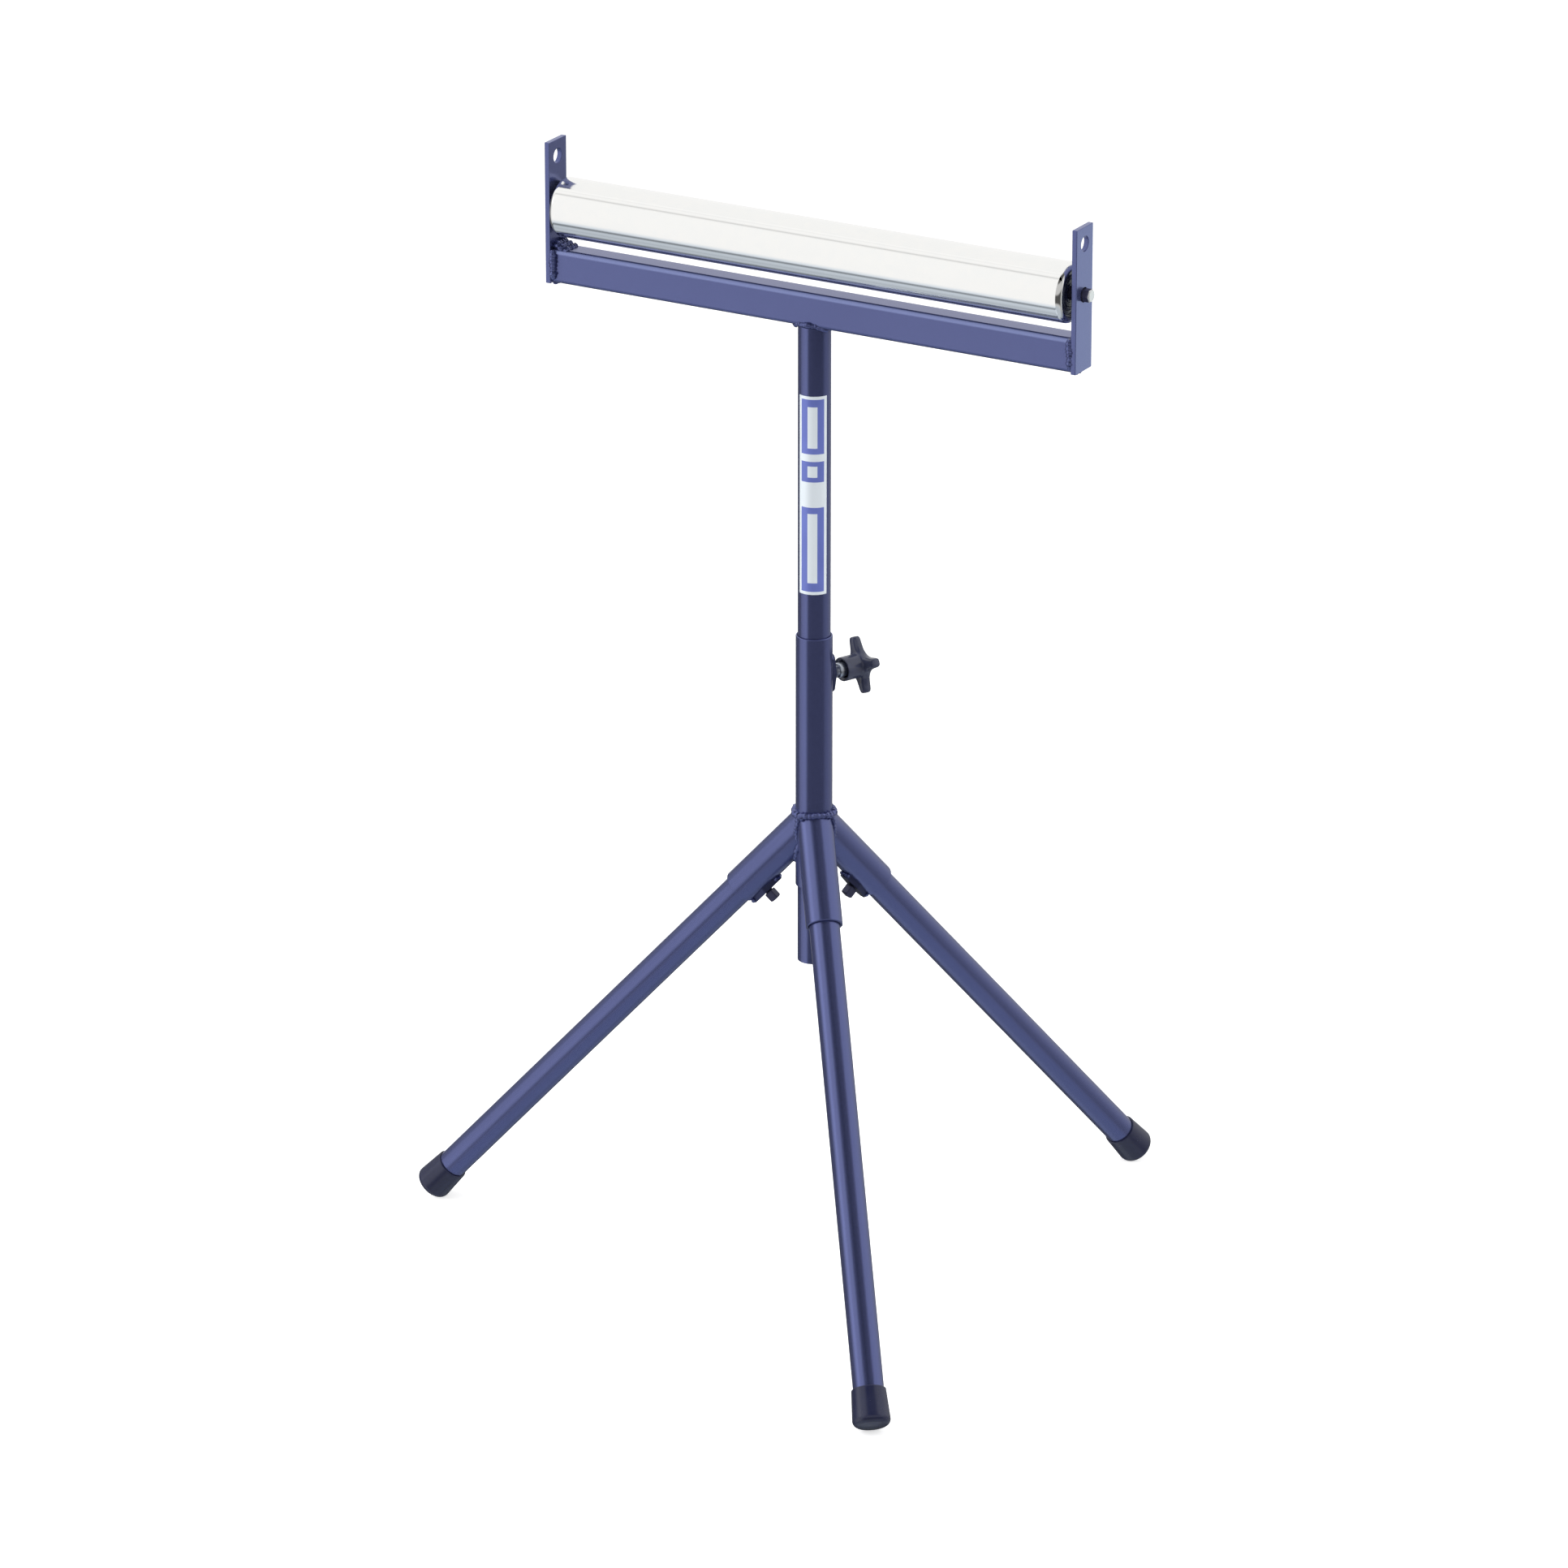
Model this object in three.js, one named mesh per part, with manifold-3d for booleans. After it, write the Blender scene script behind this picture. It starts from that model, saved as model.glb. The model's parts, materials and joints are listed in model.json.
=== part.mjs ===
// Height-adjustable roller stand: a plain roller on a sliding mast, with three plug-in legs.
// Millimetres and degrees, +Z up, +X along the roller. The origin is on the floor, under the column's axis.
import * as THREE from "three";
import { mergeVertices } from "three/addons/utils/BufferGeometryUtils.js";
import Module from "manifold-3d";

const wasm = await Module();
wasm.setup();

// Legs and feet
const LEG_NAMES = ["front", "right", "left"];
const FRONT_LEG_AZIMUTH = -52.8; // from +X, seen from above
const LEG_ANGLE = 42.2; // from the vertical
const LEG_LENGTH = 535;
const LEG_D = 28;
const LEG_WALL = 1.5;
const FOOT_LENGTH = 34;
const FOOT_FLOOR = 6; // rubber under the leg's end
const FOOT_RIM_D = 31.4;
const FOOT_END_D = 34.6;
const FOOT_ROUNDING = 6;
const FOOT_CROWN = 1.2; // rise of the middle of the foot's end

// Column and leg sockets
const COLUMN_D = 33.7;
const COLUMN_LENGTH = 242.5;
const COLUMN_TAIL = 66; // column's lower end below the crossing of the leg axes
const SOCKET_D = 33.7;
const SOCKET_REACH = 107.5; // socket's open end, from that crossing along the leg
const EDGE_BREAK = 0.6; // chamfer on the cut ends of the pipes

// Clamp pads: oval plates that hold the clamp screws' threads
const PAD_LENGTH = 37;
const PAD_WIDTH = 15;
const PAD_TIP_RADIUS = 5;
const PAD_THICKNESS = 3.5;

// Leg set screws, square head
const SCREW_D = 8;
const SCREW_HEAD_SIDE = 8.5;
const SCREW_HEAD_HEIGHT = 9.5;
const SCREW_HEAD_STANDOFF = 0.5; // between pad and head
const SCREW_HEAD_BEVEL = 0.7;

// Column clamp knob
const KNOB_DROP = 41; // below the column's rim
const KNOB_LEG = 1; // the knob points the way of this leg
const KNOB_SPAN = 52;
const KNOB_TURN = -20; // of the arms, about the stud
const KNOB_ARMS = 4;
const KNOB_HUB_D = 22.5;
const KNOB_HUB_TOP_D = 23; // hub where the arms grow out of it
const KNOB_HUB_LENGTH = 17;
const KNOB_CROWN = 1.2; // rise of the hub's top over the arms
const KNOB_HOLLOW_D = 18; // pull of the hollows between the arms
const KNOB_ARM_THICKNESS = 9;
const KNOB_ARM_TIP_RADIUS = 4.2;
const KNOB_ARM_BEVEL = 1.8;
const KNOB_BUSH_D = 14;
const KNOB_BUSH_SHOWN = 5.5; // bush between stud's shank and hub
const KNOB_BUSH_DEPTH = 12; // bush inside the hub
const STUD_D = 10;
const STUD_SHOWN = 5.5; // stud between pad and bush
const STUD_IN_BUSH = 10;

// Mast
const MAST_D = 30;
const MAST_WALL = 2;
const MAST_LENGTH = 611;
const MAST_SHOWN = 294.5; // mast above the column's rim, as set in the photograph

// Crossbar and brackets
const CROSSBAR_HEIGHT = 32;
const CROSSBAR_DEPTH = 25;
const CROSSBAR_WALL = 2;
const CROSSBAR_CORNER = 3.5;
const BRACKET_WIDTH = 30;
const BRACKET_THICKNESS = 5;
const BRACKET_HEIGHT = 132.5;
const AXLE_RISE = 70.2; // axle above the bracket's lower end
const SPARE_HOLE_DROP = 15.5; // spare hole below the bracket's upper end
const SPARE_HOLE_D = 14;

// Roller
const ROLLER_D = 55;
const ROLLER_LENGTH = 523;
const ROLLER_WALL = 1.5;
const ROLLER_CURL = 5; // outer radius of the rolled-in ends
const ROLLER_END_GAP = 5; // to each bracket
const AXLE_FLATS = 11;
const AXLE_OUT_LEFT = 2.5; // axle beyond the brackets
const AXLE_OUT_RIGHT = 7.5;
const AXLE_CHAMFER = 1.5;

// Roller bearings, one in each end
const HOUSING_DEPTH = 14;
const HOUSING_LIP = 2.4; // wall in front of the bearing
const HOUSING_GROOVE_DEPTH = 2.2;
const HOUSING_RIM = 1.6; // flat ring outside the groove
const BEARING_D = 32;
const BEARING_WIDTH = 9;
const RACE_WALL = 3; // outer race, beside its groove
const BALL_D = 4.2;
const BALL_COUNT = 7;
const BALL_PLAY = 0.4; // between ball and groove
const CAGE_WALL = 1.2;
const CAGE_WIDTH = 3.6;
const CAGE_GAP = 0.7; // between cage and races
const SEAL_THICKNESS = 1.3;

// Axle spring and the rings on the axle
const RING_D = 21;
const RING_THICKNESS = 2.5;
const SPRING_LENGTH = 28;
const SPRING_D = 18.5;
const SPRING_WIRE = 1.8;
const SPRING_TURNS = 7;

// Fits
const SLIDE_CLEARANCE = 0.35; // mast in column, leg in socket
const SEAT_GAP = 0.3; // between pieces that are welded, pressed or set together
const THREAD_GAP = 0.3; // screws in their threads
const HEX_GAP = 0.25; // axle in the hexagonal bores
const AXLE_HOLE_GAP = 0.4; // axle's corners in the brackets

// Facets: round the pipes, round small turned pieces, inside the bearings, on corners, balls and coils
const PIPE_SIDES = 28;
const SMALL_SIDES = 20;
const BEARING_SIDES = 18;
const CORNER_STEPS = 4;
const BALL_SIDES = 6;
const COIL_STEPS = 8;
const OVERCUT = 1; // how far a cutting tool runs past the face it cuts

const rad = THREE.MathUtils.degToRad;
const RIGHT_ANGLE = Math.PI / 2;

// Sizes and places that follow from the ones above
const legTilt = rad(LEG_ANGLE);
const legStart = (COLUMN_D / 2 + SEAT_GAP + (LEG_D / 2) * Math.cos(legTilt)) / Math.sin(legTilt);
const footEnd = legStart + LEG_LENGTH + SEAT_GAP + FOOT_FLOOR;
const footCorner = FOOT_END_D / 2 - FOOT_ROUNDING;
const hubHeight =
  (footEnd - FOOT_ROUNDING) * Math.cos(legTilt) + footCorner * Math.sin(legTilt) + FOOT_ROUNDING;
const columnBottom = hubHeight - COLUMN_TAIL;
const columnTop = columnBottom + COLUMN_LENGTH;
const knobHeight = columnTop - KNOB_DROP;
const columnBore = MAST_D + 2 * SLIDE_CLEARANCE;
const socketBore = LEG_D + 2 * SLIDE_CLEARANCE;
const padAlongLeg = SOCKET_REACH - PAD_LENGTH / 2;
const headBottom = columnTop + MAST_SHOWN;
const axleHeight = headBottom + AXLE_RISE;
const bracketInner = ROLLER_LENGTH / 2 + ROLLER_END_GAP;
const axleCorner = AXLE_FLATS / 2 / Math.cos(Math.PI / 6);
const axleHoleRadius = axleCorner + AXLE_HOLE_GAP;
const hexBore = AXLE_FLATS + 2 * HEX_GAP;
const housingRadius = ROLLER_D / 2 - ROLLER_WALL - SEAT_GAP;
const housingFace = ROLLER_LENGTH / 2 - ROLLER_WALL - SEAT_GAP;
const bearingFace = housingFace - HOUSING_LIP - SEAT_GAP;
const bearingBack = bearingFace - BEARING_WIDTH;
const outerRaceRadius = BEARING_D / 2;
const outerRaceBore = outerRaceRadius - RACE_WALL;
const cageRadius = outerRaceBore - CAGE_GAP - CAGE_WALL / 2;
const innerRaceRadius = cageRadius - CAGE_WALL / 2 - CAGE_GAP;
const lipBore = outerRaceBore + SEAT_GAP;

const bluePaint = new THREE.MeshStandardMaterial({ color: 0x4d5290, roughness: 0.35, metalness: 0.25 });
const blackPlastic = new THREE.MeshStandardMaterial({ color: 0x26272e, roughness: 0.5, metalness: 0 });
const blackRubber = new THREE.MeshStandardMaterial({ color: 0x2a2b33, roughness: 0.7, metalness: 0 });
const blackSteel = new THREE.MeshStandardMaterial({ color: 0x2b2c34, roughness: 0.45, metalness: 0.7 });
const zinc = new THREE.MeshStandardMaterial({ color: 0xe2e4e6, roughness: 0.22, metalness: 1 });
const bareSteel = new THREE.MeshStandardMaterial({ color: 0xb9bcc2, roughness: 0.35, metalness: 1 });

for (const material of [bluePaint, blackPlastic, blackRubber, blackSteel, zinc, bareSteel]) {
  material.flatShading = true;
}

// A closed, outward-facing body with shared corners
function closed(geometry) {
  geometry.deleteAttribute("normal");
  geometry.deleteAttribute("uv");
  const merged = mergeVertices(geometry, 1e-4);
  const position = merged.attributes.position;
  const corners = [0, 1, 2].map(() => new THREE.Vector3());
  const kept = [];
  let volume = 0;
  for (let i = 0; i < merged.index.count; i += 3) {
    const triangle = [0, 1, 2].map((k) => merged.index.getX(i + k));
    if (new Set(triangle).size < 3) continue;
    triangle.forEach((vertex, k) => corners[k].fromBufferAttribute(position, vertex));
    volume += corners[0].dot(corners[1].clone().cross(corners[2]));
    kept.push(...triangle);
  }
  merged.setIndex(volume < 0 ? kept.reverse() : kept);
  return merged;
}

function solid(geometry) {
  const body = closed(geometry);
  const vertProperties = new Float32Array(body.attributes.position.array);
  const triVerts = new Uint32Array(body.index.array);
  return new wasm.Manifold(new wasm.Mesh({ numProp: 3, vertProperties, triVerts }));
}

function geometryOf(body) {
  const mesh = body.getMesh();
  const geometry = new THREE.BufferGeometry();
  geometry.setAttribute("position", new THREE.BufferAttribute(mesh.vertProperties, 3));
  geometry.setIndex(new THREE.BufferAttribute(mesh.triVerts, 1));
  return geometry;
}

function cut(geometry, ...tools) {
  return geometryOf(tools.reduce((body, tool) => body.subtract(solid(tool)), solid(geometry)));
}

function join(...pieces) {
  return geometryOf(pieces.map(solid).reduce((body, piece) => body.add(piece)));
}

function common(geometry, limit) {
  return geometryOf(solid(geometry).intersect(solid(limit)));
}

// Turned pieces: the profile is a list of [radius, height] pairs
function turned(profile, sides) {
  const points = profile.map(([radius, height]) => new THREE.Vector2(radius, height));
  return new THREE.LatheGeometry(points, sides);
}

function turnedZ(profile, sides) {
  return closed(turned(profile, sides).rotateX(RIGHT_ANGLE));
}

function turnedX(profile, sides) {
  return closed(turned(profile, sides).rotateZ(-RIGHT_ANGLE));
}

// Quarter arc in a turned profile, from one angle to another, about a [radius, height] centre
function arc(centre, radius, from, to) {
  const points = [];
  for (let step = 0; step <= CORNER_STEPS; step += 1) {
    const angle = rad(from + ((to - from) * step) / CORNER_STEPS);
    points.push([centre[0] + radius * Math.cos(angle), centre[1] + radius * Math.sin(angle)]);
  }
  return points;
}

function ring(profile) {
  return [...profile, profile[0]];
}

function rod(radius, from, to, sides) {
  const geometry = new THREE.CylinderGeometry(radius, radius, to - from, sides);
  return geometry.rotateX(RIGHT_ANGLE).translate(0, 0, (from + to) / 2);
}

// Pipe along Z with square ends
function pipe(outerD, innerD, from, to) {
  const outer = outerD / 2;
  const inner = innerD / 2;
  return turnedZ(ring([[inner, from], [outer, from], [outer, to], [inner, to]]), PIPE_SIDES);
}

// Pipe along Z with its outer edges broken
function dressedPipe(outerD, innerD, from, to) {
  const outer = outerD / 2;
  const inner = innerD / 2;
  return turnedZ(
    ring([
      [inner, from],
      [outer - EDGE_BREAK, from],
      [outer, from + EDGE_BREAK],
      [outer, to - EDGE_BREAK],
      [outer - EDGE_BREAK, to],
      [inner, to],
    ]),
    PIPE_SIDES,
  );
}

// Hexagonal prism along X, with one flat facing up
function hexPrism(flats, from, to) {
  const corner = flats / 2 / Math.cos(Math.PI / 6);
  const geometry = new THREE.CylinderGeometry(corner, corner, to - from, 6);
  return geometry.rotateZ(-RIGHT_ANGLE).rotateX(RIGHT_ANGLE).translate((from + to) / 2, 0, 0);
}

function roundedRectangle(width, height, corner, Path) {
  const x = width / 2 - corner;
  const y = height / 2 - corner;
  const path = new Path();
  path.absarc(x, y, corner, 0, RIGHT_ANGLE);
  path.absarc(-x, y, corner, RIGHT_ANGLE, Math.PI);
  path.absarc(-x, -y, corner, Math.PI, 3 * RIGHT_ANGLE);
  path.absarc(x, -y, corner, 3 * RIGHT_ANGLE, 4 * RIGHT_ANGLE);
  path.closePath();
  return path;
}

// Frame at a height on the column's axis, with its +Z pointing outwards at an azimuth and its +X down
function sideways(height, azimuth) {
  const group = new THREE.Group();
  group.position.z = height;
  group.rotation.set(0, RIGHT_ANGLE, rad(azimuth), "ZYX");
  return group;
}

const stand = new THREE.Group();
stand.name = "roller_stand";

function place(group, name, geometry, material) {
  const mesh = new THREE.Mesh(geometry, material);
  mesh.name = name;
  group.add(mesh);
}

// Column: the outer pipe, bored for the knob's stud
const knobAzimuth = FRONT_LEG_AZIMUTH + (360 / LEG_NAMES.length) * KNOB_LEG;
const knobFrame = sideways(knobHeight, knobAzimuth);
knobFrame.updateMatrix();
const studBore = rod(STUD_D / 2 + THREAD_GAP, 0, COLUMN_D, SMALL_SIDES).applyMatrix4(knobFrame.matrix);
place(
  stand,
  "column_outer_tube",
  cut(dressedPipe(COLUMN_D, columnBore, columnBottom, columnTop), studBore),
  bluePaint,
);

// Clamp pad in a frame whose X runs along the pipe that carries it and whose Z points away from it
function clampPad(pipeD, screwD) {
  const tipCentre = PAD_LENGTH / 2 - PAD_TIP_RADIUS;
  const waist = PAD_WIDTH / 2;
  const lean = Math.acos((waist - PAD_TIP_RADIUS) / tipCentre);
  const outline = new THREE.Shape();
  outline.absarc(tipCentre, 0, PAD_TIP_RADIUS, -lean, lean);
  outline.absarc(0, 0, waist, lean, Math.PI - lean);
  outline.absarc(-tipCentre, 0, PAD_TIP_RADIUS, Math.PI - lean, Math.PI + lean);
  outline.absarc(0, 0, waist, Math.PI + lean, 2 * Math.PI - lean);
  const outer = pipeD / 2 + PAD_THICKNESS;
  const plate = new THREE.ExtrudeGeometry(outline, {
    depth: outer,
    bevelEnabled: false,
    curveSegments: CORNER_STEPS,
  });
  const carrier = rod(pipeD / 2 + SEAT_GAP, -PAD_LENGTH, PAD_LENGTH, PIPE_SIDES).rotateY(RIGHT_ANGLE);
  const thread = rod(screwD / 2 + THREAD_GAP, 0, 2 * outer, SMALL_SIDES);
  return cut(plate, carrier, thread);
}

stand.add(knobFrame);
place(knobFrame, "column_clamp_pad", clampPad(COLUMN_D, STUD_D), bluePaint);

// Socket: a short pipe whose upper end is cut to the column's round
const columnCutter = rod(COLUMN_D / 2 + SEAT_GAP, -2 * COLUMN_LENGTH, 2 * COLUMN_LENGTH, PIPE_SIDES);
columnCutter.rotateY(legTilt - Math.PI);
const padFrame = new THREE.Group();
padFrame.position.z = padAlongLeg;
padFrame.rotation.y = RIGHT_ANGLE;
const screwBore = rod(SCREW_D / 2 + THREAD_GAP, 0, SOCKET_D, SMALL_SIDES);
screwBore.rotateY(RIGHT_ANGLE).translate(0, 0, padAlongLeg);
const socketBlank = cut(dressedPipe(SOCKET_D, socketBore, 0, SOCKET_REACH), columnCutter, screwBore);

// Neighbouring sockets meet in upright planes, so each one keeps to its own sector round the column
const sectorHalf = Math.PI / LEG_NAMES.length;
const sectorTip = SEAT_GAP / 2 / Math.sin(sectorHalf);
const sectorReach = 2 * SOCKET_REACH;
const sectorShape = new THREE.Shape();
sectorShape.moveTo(sectorTip, 0);
sectorShape.lineTo(sectorReach, -(sectorReach - sectorTip) * Math.tan(sectorHalf));
sectorShape.lineTo(sectorReach, (sectorReach - sectorTip) * Math.tan(sectorHalf));
sectorShape.closePath();
const sector = new THREE.ExtrudeGeometry(sectorShape, { depth: 2 * sectorReach, bevelEnabled: false });
sector.translate(0, 0, -sectorReach).rotateY(legTilt - Math.PI);
const socket = common(socketBlank, sector);

const legTube = pipe(LEG_D, LEG_D - 2 * LEG_WALL, legStart, legStart + LEG_LENGTH);
const legPad = clampPad(SOCKET_D, SCREW_D);

// Foot: a tapered cap with a rounded end
const footRim = footEnd - FOOT_LENGTH;
const footCap = turnedZ(
  [
    [0, footEnd - FOOT_FLOOR],
    [LEG_D / 2 + SEAT_GAP, footEnd - FOOT_FLOOR],
    [LEG_D / 2 + SEAT_GAP, footRim],
    [FOOT_RIM_D / 2 - EDGE_BREAK, footRim],
    [FOOT_RIM_D / 2, footRim + EDGE_BREAK],
    ...arc([footCorner, footEnd - FOOT_ROUNDING], FOOT_ROUNDING, 0, 90),
    [footCorner / 2, footEnd + FOOT_CROWN * (1 - 0.5 ** 2)],
    [0, footEnd + FOOT_CROWN],
  ],
  PIPE_SIDES,
);

// Set screw along Z, its tip on the leg
const padFace = SOCKET_D / 2 + PAD_THICKNESS;
const headBase = padFace + SCREW_HEAD_STANDOFF;
const screwShank = rod(SCREW_D / 2, LEG_D / 2 + SEAT_GAP, headBase + OVERCUT, SMALL_SIDES);
const headShape = new THREE.Shape();
const headSide = SCREW_HEAD_SIDE / 2 - SCREW_HEAD_BEVEL;
headShape.moveTo(-headSide, -headSide);
headShape.lineTo(headSide, -headSide);
headShape.lineTo(headSide, headSide);
headShape.lineTo(-headSide, headSide);
const screwHead = new THREE.ExtrudeGeometry(headShape, {
  depth: SCREW_HEAD_HEIGHT - 2 * SCREW_HEAD_BEVEL,
  bevelSize: SCREW_HEAD_BEVEL,
  bevelThickness: SCREW_HEAD_BEVEL,
  bevelSegments: 2,
}).translate(0, 0, headBase + SCREW_HEAD_BEVEL);
const setScrew = join(screwShank, screwHead);

LEG_NAMES.forEach((side, index) => {
  const legFrame = new THREE.Group();
  legFrame.position.z = hubHeight;
  const azimuth = FRONT_LEG_AZIMUTH + (360 / LEG_NAMES.length) * index;
  legFrame.rotation.set(0, Math.PI - legTilt, rad(azimuth), "ZYX");
  place(legFrame, `leg_socket_${side}`, socket, bluePaint);
  place(legFrame, `leg_tube_${side}`, legTube, bluePaint);
  place(legFrame, `foot_cap_${side}`, footCap, blackRubber);
  const clamp = padFrame.clone();
  place(clamp, `leg_clamp_pad_${side}`, legPad, bluePaint);
  place(clamp, `leg_set_screw_${side}`, setScrew, blackSteel);
  legFrame.add(clamp);
  stand.add(legFrame);
});

// Star knob along Z: hub, arms, bush and stud
const bushStart = COLUMN_D / 2 + PAD_THICKNESS + STUD_SHOWN;
const hubStart = bushStart + KNOB_BUSH_SHOWN;
const armStart = hubStart + KNOB_HUB_LENGTH;
const armEnd = armStart + KNOB_ARM_THICKNESS;
const bushEnd = hubStart + KNOB_BUSH_DEPTH;
const studEnd = bushStart + STUD_IN_BUSH;

const starOutline = new THREE.Shape();
const tipCentre = KNOB_SPAN / 2 - KNOB_ARM_TIP_RADIUS;
const tipRadius = KNOB_ARM_TIP_RADIUS - KNOB_ARM_BEVEL;
const armPitch = (2 * Math.PI) / KNOB_ARMS;
for (let arm = 0; arm < KNOB_ARMS; arm += 1) {
  const angle = arm * armPitch + rad(KNOB_TURN);
  const valley = angle + armPitch / 2;
  const nextTip = angle + armPitch;
  starOutline.absarc(
    tipCentre * Math.cos(angle),
    tipCentre * Math.sin(angle),
    tipRadius,
    angle - RIGHT_ANGLE,
    angle + RIGHT_ANGLE,
  );
  starOutline.quadraticCurveTo(
    (KNOB_HOLLOW_D / 2) * Math.cos(valley),
    (KNOB_HOLLOW_D / 2) * Math.sin(valley),
    tipCentre * Math.cos(nextTip) + tipRadius * Math.cos(nextTip - RIGHT_ANGLE),
    tipCentre * Math.sin(nextTip) + tipRadius * Math.sin(nextTip - RIGHT_ANGLE),
  );
}
const star = new THREE.ExtrudeGeometry(starOutline, {
  depth: KNOB_ARM_THICKNESS - 2 * KNOB_ARM_BEVEL,
  bevelSize: KNOB_ARM_BEVEL,
  bevelThickness: KNOB_ARM_BEVEL,
  bevelSegments: 2,
  curveSegments: CORNER_STEPS,
}).translate(0, 0, armStart + KNOB_ARM_BEVEL);
const hub = turnedZ(
  [
    [0, hubStart],
    [KNOB_HUB_D / 2 - EDGE_BREAK, hubStart],
    [KNOB_HUB_D / 2, hubStart + EDGE_BREAK],
    [KNOB_HUB_TOP_D / 2, armStart],
    [KNOB_HUB_TOP_D / 2, armEnd],
    [0, armEnd + KNOB_CROWN],
  ],
  SMALL_SIDES,
);
const bushPocket = rod(KNOB_BUSH_D / 2 + SEAT_GAP, hubStart - OVERCUT, bushEnd + SEAT_GAP, SMALL_SIDES);
const bush = cut(
  rod(KNOB_BUSH_D / 2, bushStart, bushEnd, SMALL_SIDES),
  rod(STUD_D / 2 + THREAD_GAP, bushStart - OVERCUT, studEnd + THREAD_GAP, SMALL_SIDES),
);
place(knobFrame, "knob_grip", cut(join(hub, star), bushPocket), blackPlastic);
place(knobFrame, "knob_bush", bush, zinc);
place(knobFrame, "knob_stud", rod(STUD_D / 2, MAST_D / 2 + SEAT_GAP, studEnd, SMALL_SIDES), bareSteel);

// Mast, crossbar and brackets
place(
  stand,
  "mast_tube",
  dressedPipe(MAST_D, MAST_D - 2 * MAST_WALL, headBottom - MAST_LENGTH, headBottom),
  bluePaint,
);

const head = new THREE.Group();
head.position.z = headBottom;
stand.add(head);

const barSection = roundedRectangle(CROSSBAR_DEPTH, CROSSBAR_HEIGHT, CROSSBAR_CORNER, THREE.Shape);
barSection.holes.push(
  roundedRectangle(
    CROSSBAR_DEPTH - 2 * CROSSBAR_WALL,
    CROSSBAR_HEIGHT - 2 * CROSSBAR_WALL,
    Math.max(CROSSBAR_CORNER - CROSSBAR_WALL, EDGE_BREAK),
    THREE.Path,
  ),
);
const crossbar = new THREE.ExtrudeGeometry(barSection, {
  depth: 2 * bracketInner,
  bevelEnabled: false,
  curveSegments: CORNER_STEPS,
});
crossbar.translate(0, 0, -bracketInner).rotateX(RIGHT_ANGLE).rotateZ(RIGHT_ANGLE);
crossbar.translate(0, 0, CROSSBAR_HEIGHT / 2);
place(head, "crossbar", closed(crossbar), bluePaint);

const bracketShape = new THREE.Shape();
bracketShape.moveTo(-BRACKET_WIDTH / 2, 0);
bracketShape.lineTo(BRACKET_WIDTH / 2, 0);
bracketShape.lineTo(BRACKET_WIDTH / 2, BRACKET_HEIGHT);
bracketShape.lineTo(-BRACKET_WIDTH / 2, BRACKET_HEIGHT);
bracketShape.closePath();
const bracketHoles = [
  [AXLE_RISE, axleHoleRadius],
  [BRACKET_HEIGHT - SPARE_HOLE_DROP, SPARE_HOLE_D / 2],
];
for (const [height, radius] of bracketHoles) {
  bracketShape.holes.push(new THREE.Path().absarc(0, height, radius, 0, 2 * Math.PI));
}
const bracket = closed(
  new THREE.ExtrudeGeometry(bracketShape, {
    depth: BRACKET_THICKNESS,
    bevelEnabled: false,
    curveSegments: SMALL_SIDES,
  }).rotateX(RIGHT_ANGLE).rotateZ(RIGHT_ANGLE),
);
place(head, "bracket_right", bracket.clone().translate(bracketInner, 0, 0), bluePaint);
place(head, "bracket_left", bracket.clone().translate(-bracketInner - BRACKET_THICKNESS, 0, 0), bluePaint);

// Roller: tube with rolled-in ends
const roller = new THREE.Group();
roller.position.z = axleHeight;
stand.add(roller);

const curlCentre = [ROLLER_D / 2 - ROLLER_CURL, ROLLER_LENGTH / 2 - ROLLER_CURL];
const curlBore = ROLLER_CURL - ROLLER_WALL;
const leftCurl = [curlCentre[0], -curlCentre[1]];
const rollerTube = turnedX(
  ring([
    ...arc(leftCurl, ROLLER_CURL, -90, 0),
    ...arc(curlCentre, ROLLER_CURL, 0, 90),
    [curlCentre[0], curlCentre[1] + curlBore],
    [curlCentre[0] + curlBore, curlCentre[1]],
    [leftCurl[0] + curlBore, leftCurl[1]],
    [leftCurl[0], leftCurl[1] - curlBore],
  ]),
  PIPE_SIDES,
);
place(roller, "roller_tube", rollerTube, zinc);

// Bearing in the roller's right end; the left one is its mirror image
const grooveOuter = housingRadius - curlBore - HOUSING_RIM;
const housing = turnedX(
  ring([
    [lipBore, housingFace - HOUSING_LIP],
    [lipBore, housingFace - EDGE_BREAK],
    [outerRaceRadius, housingFace - EDGE_BREAK],
    [outerRaceRadius + EDGE_BREAK, housingFace - HOUSING_GROOVE_DEPTH],
    [grooveOuter - EDGE_BREAK, housingFace - HOUSING_GROOVE_DEPTH],
    [grooveOuter, housingFace],
    [housingRadius - curlBore, housingFace],
    [housingRadius, housingFace - curlBore],
    [housingRadius, housingFace - HOUSING_DEPTH],
    [outerRaceRadius + SEAT_GAP, housingFace - HOUSING_DEPTH],
    [outerRaceRadius + SEAT_GAP, housingFace - HOUSING_LIP],
  ]),
  PIPE_SIDES,
);
const bearingMiddle = (bearingFace + bearingBack) / 2;
const grooveRadius = BALL_D / 2 + BALL_PLAY;
const outerRace = cut(
  turnedX(
    ring([
      [outerRaceBore, bearingBack],
      [outerRaceRadius, bearingBack],
      [outerRaceRadius, bearingFace],
      [outerRaceBore, bearingFace],
    ]),
    BEARING_SIDES,
  ),
  ballGroove(),
);
const innerRace = cut(
  turnedX(
    [
      [0, bearingBack],
      [innerRaceRadius, bearingBack],
      [innerRaceRadius, bearingFace],
      [0, bearingFace],
    ],
    BEARING_SIDES,
  ),
  ballGroove(),
  hexPrism(hexBore, bearingBack - OVERCUT, bearingFace + OVERCUT),
);

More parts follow.
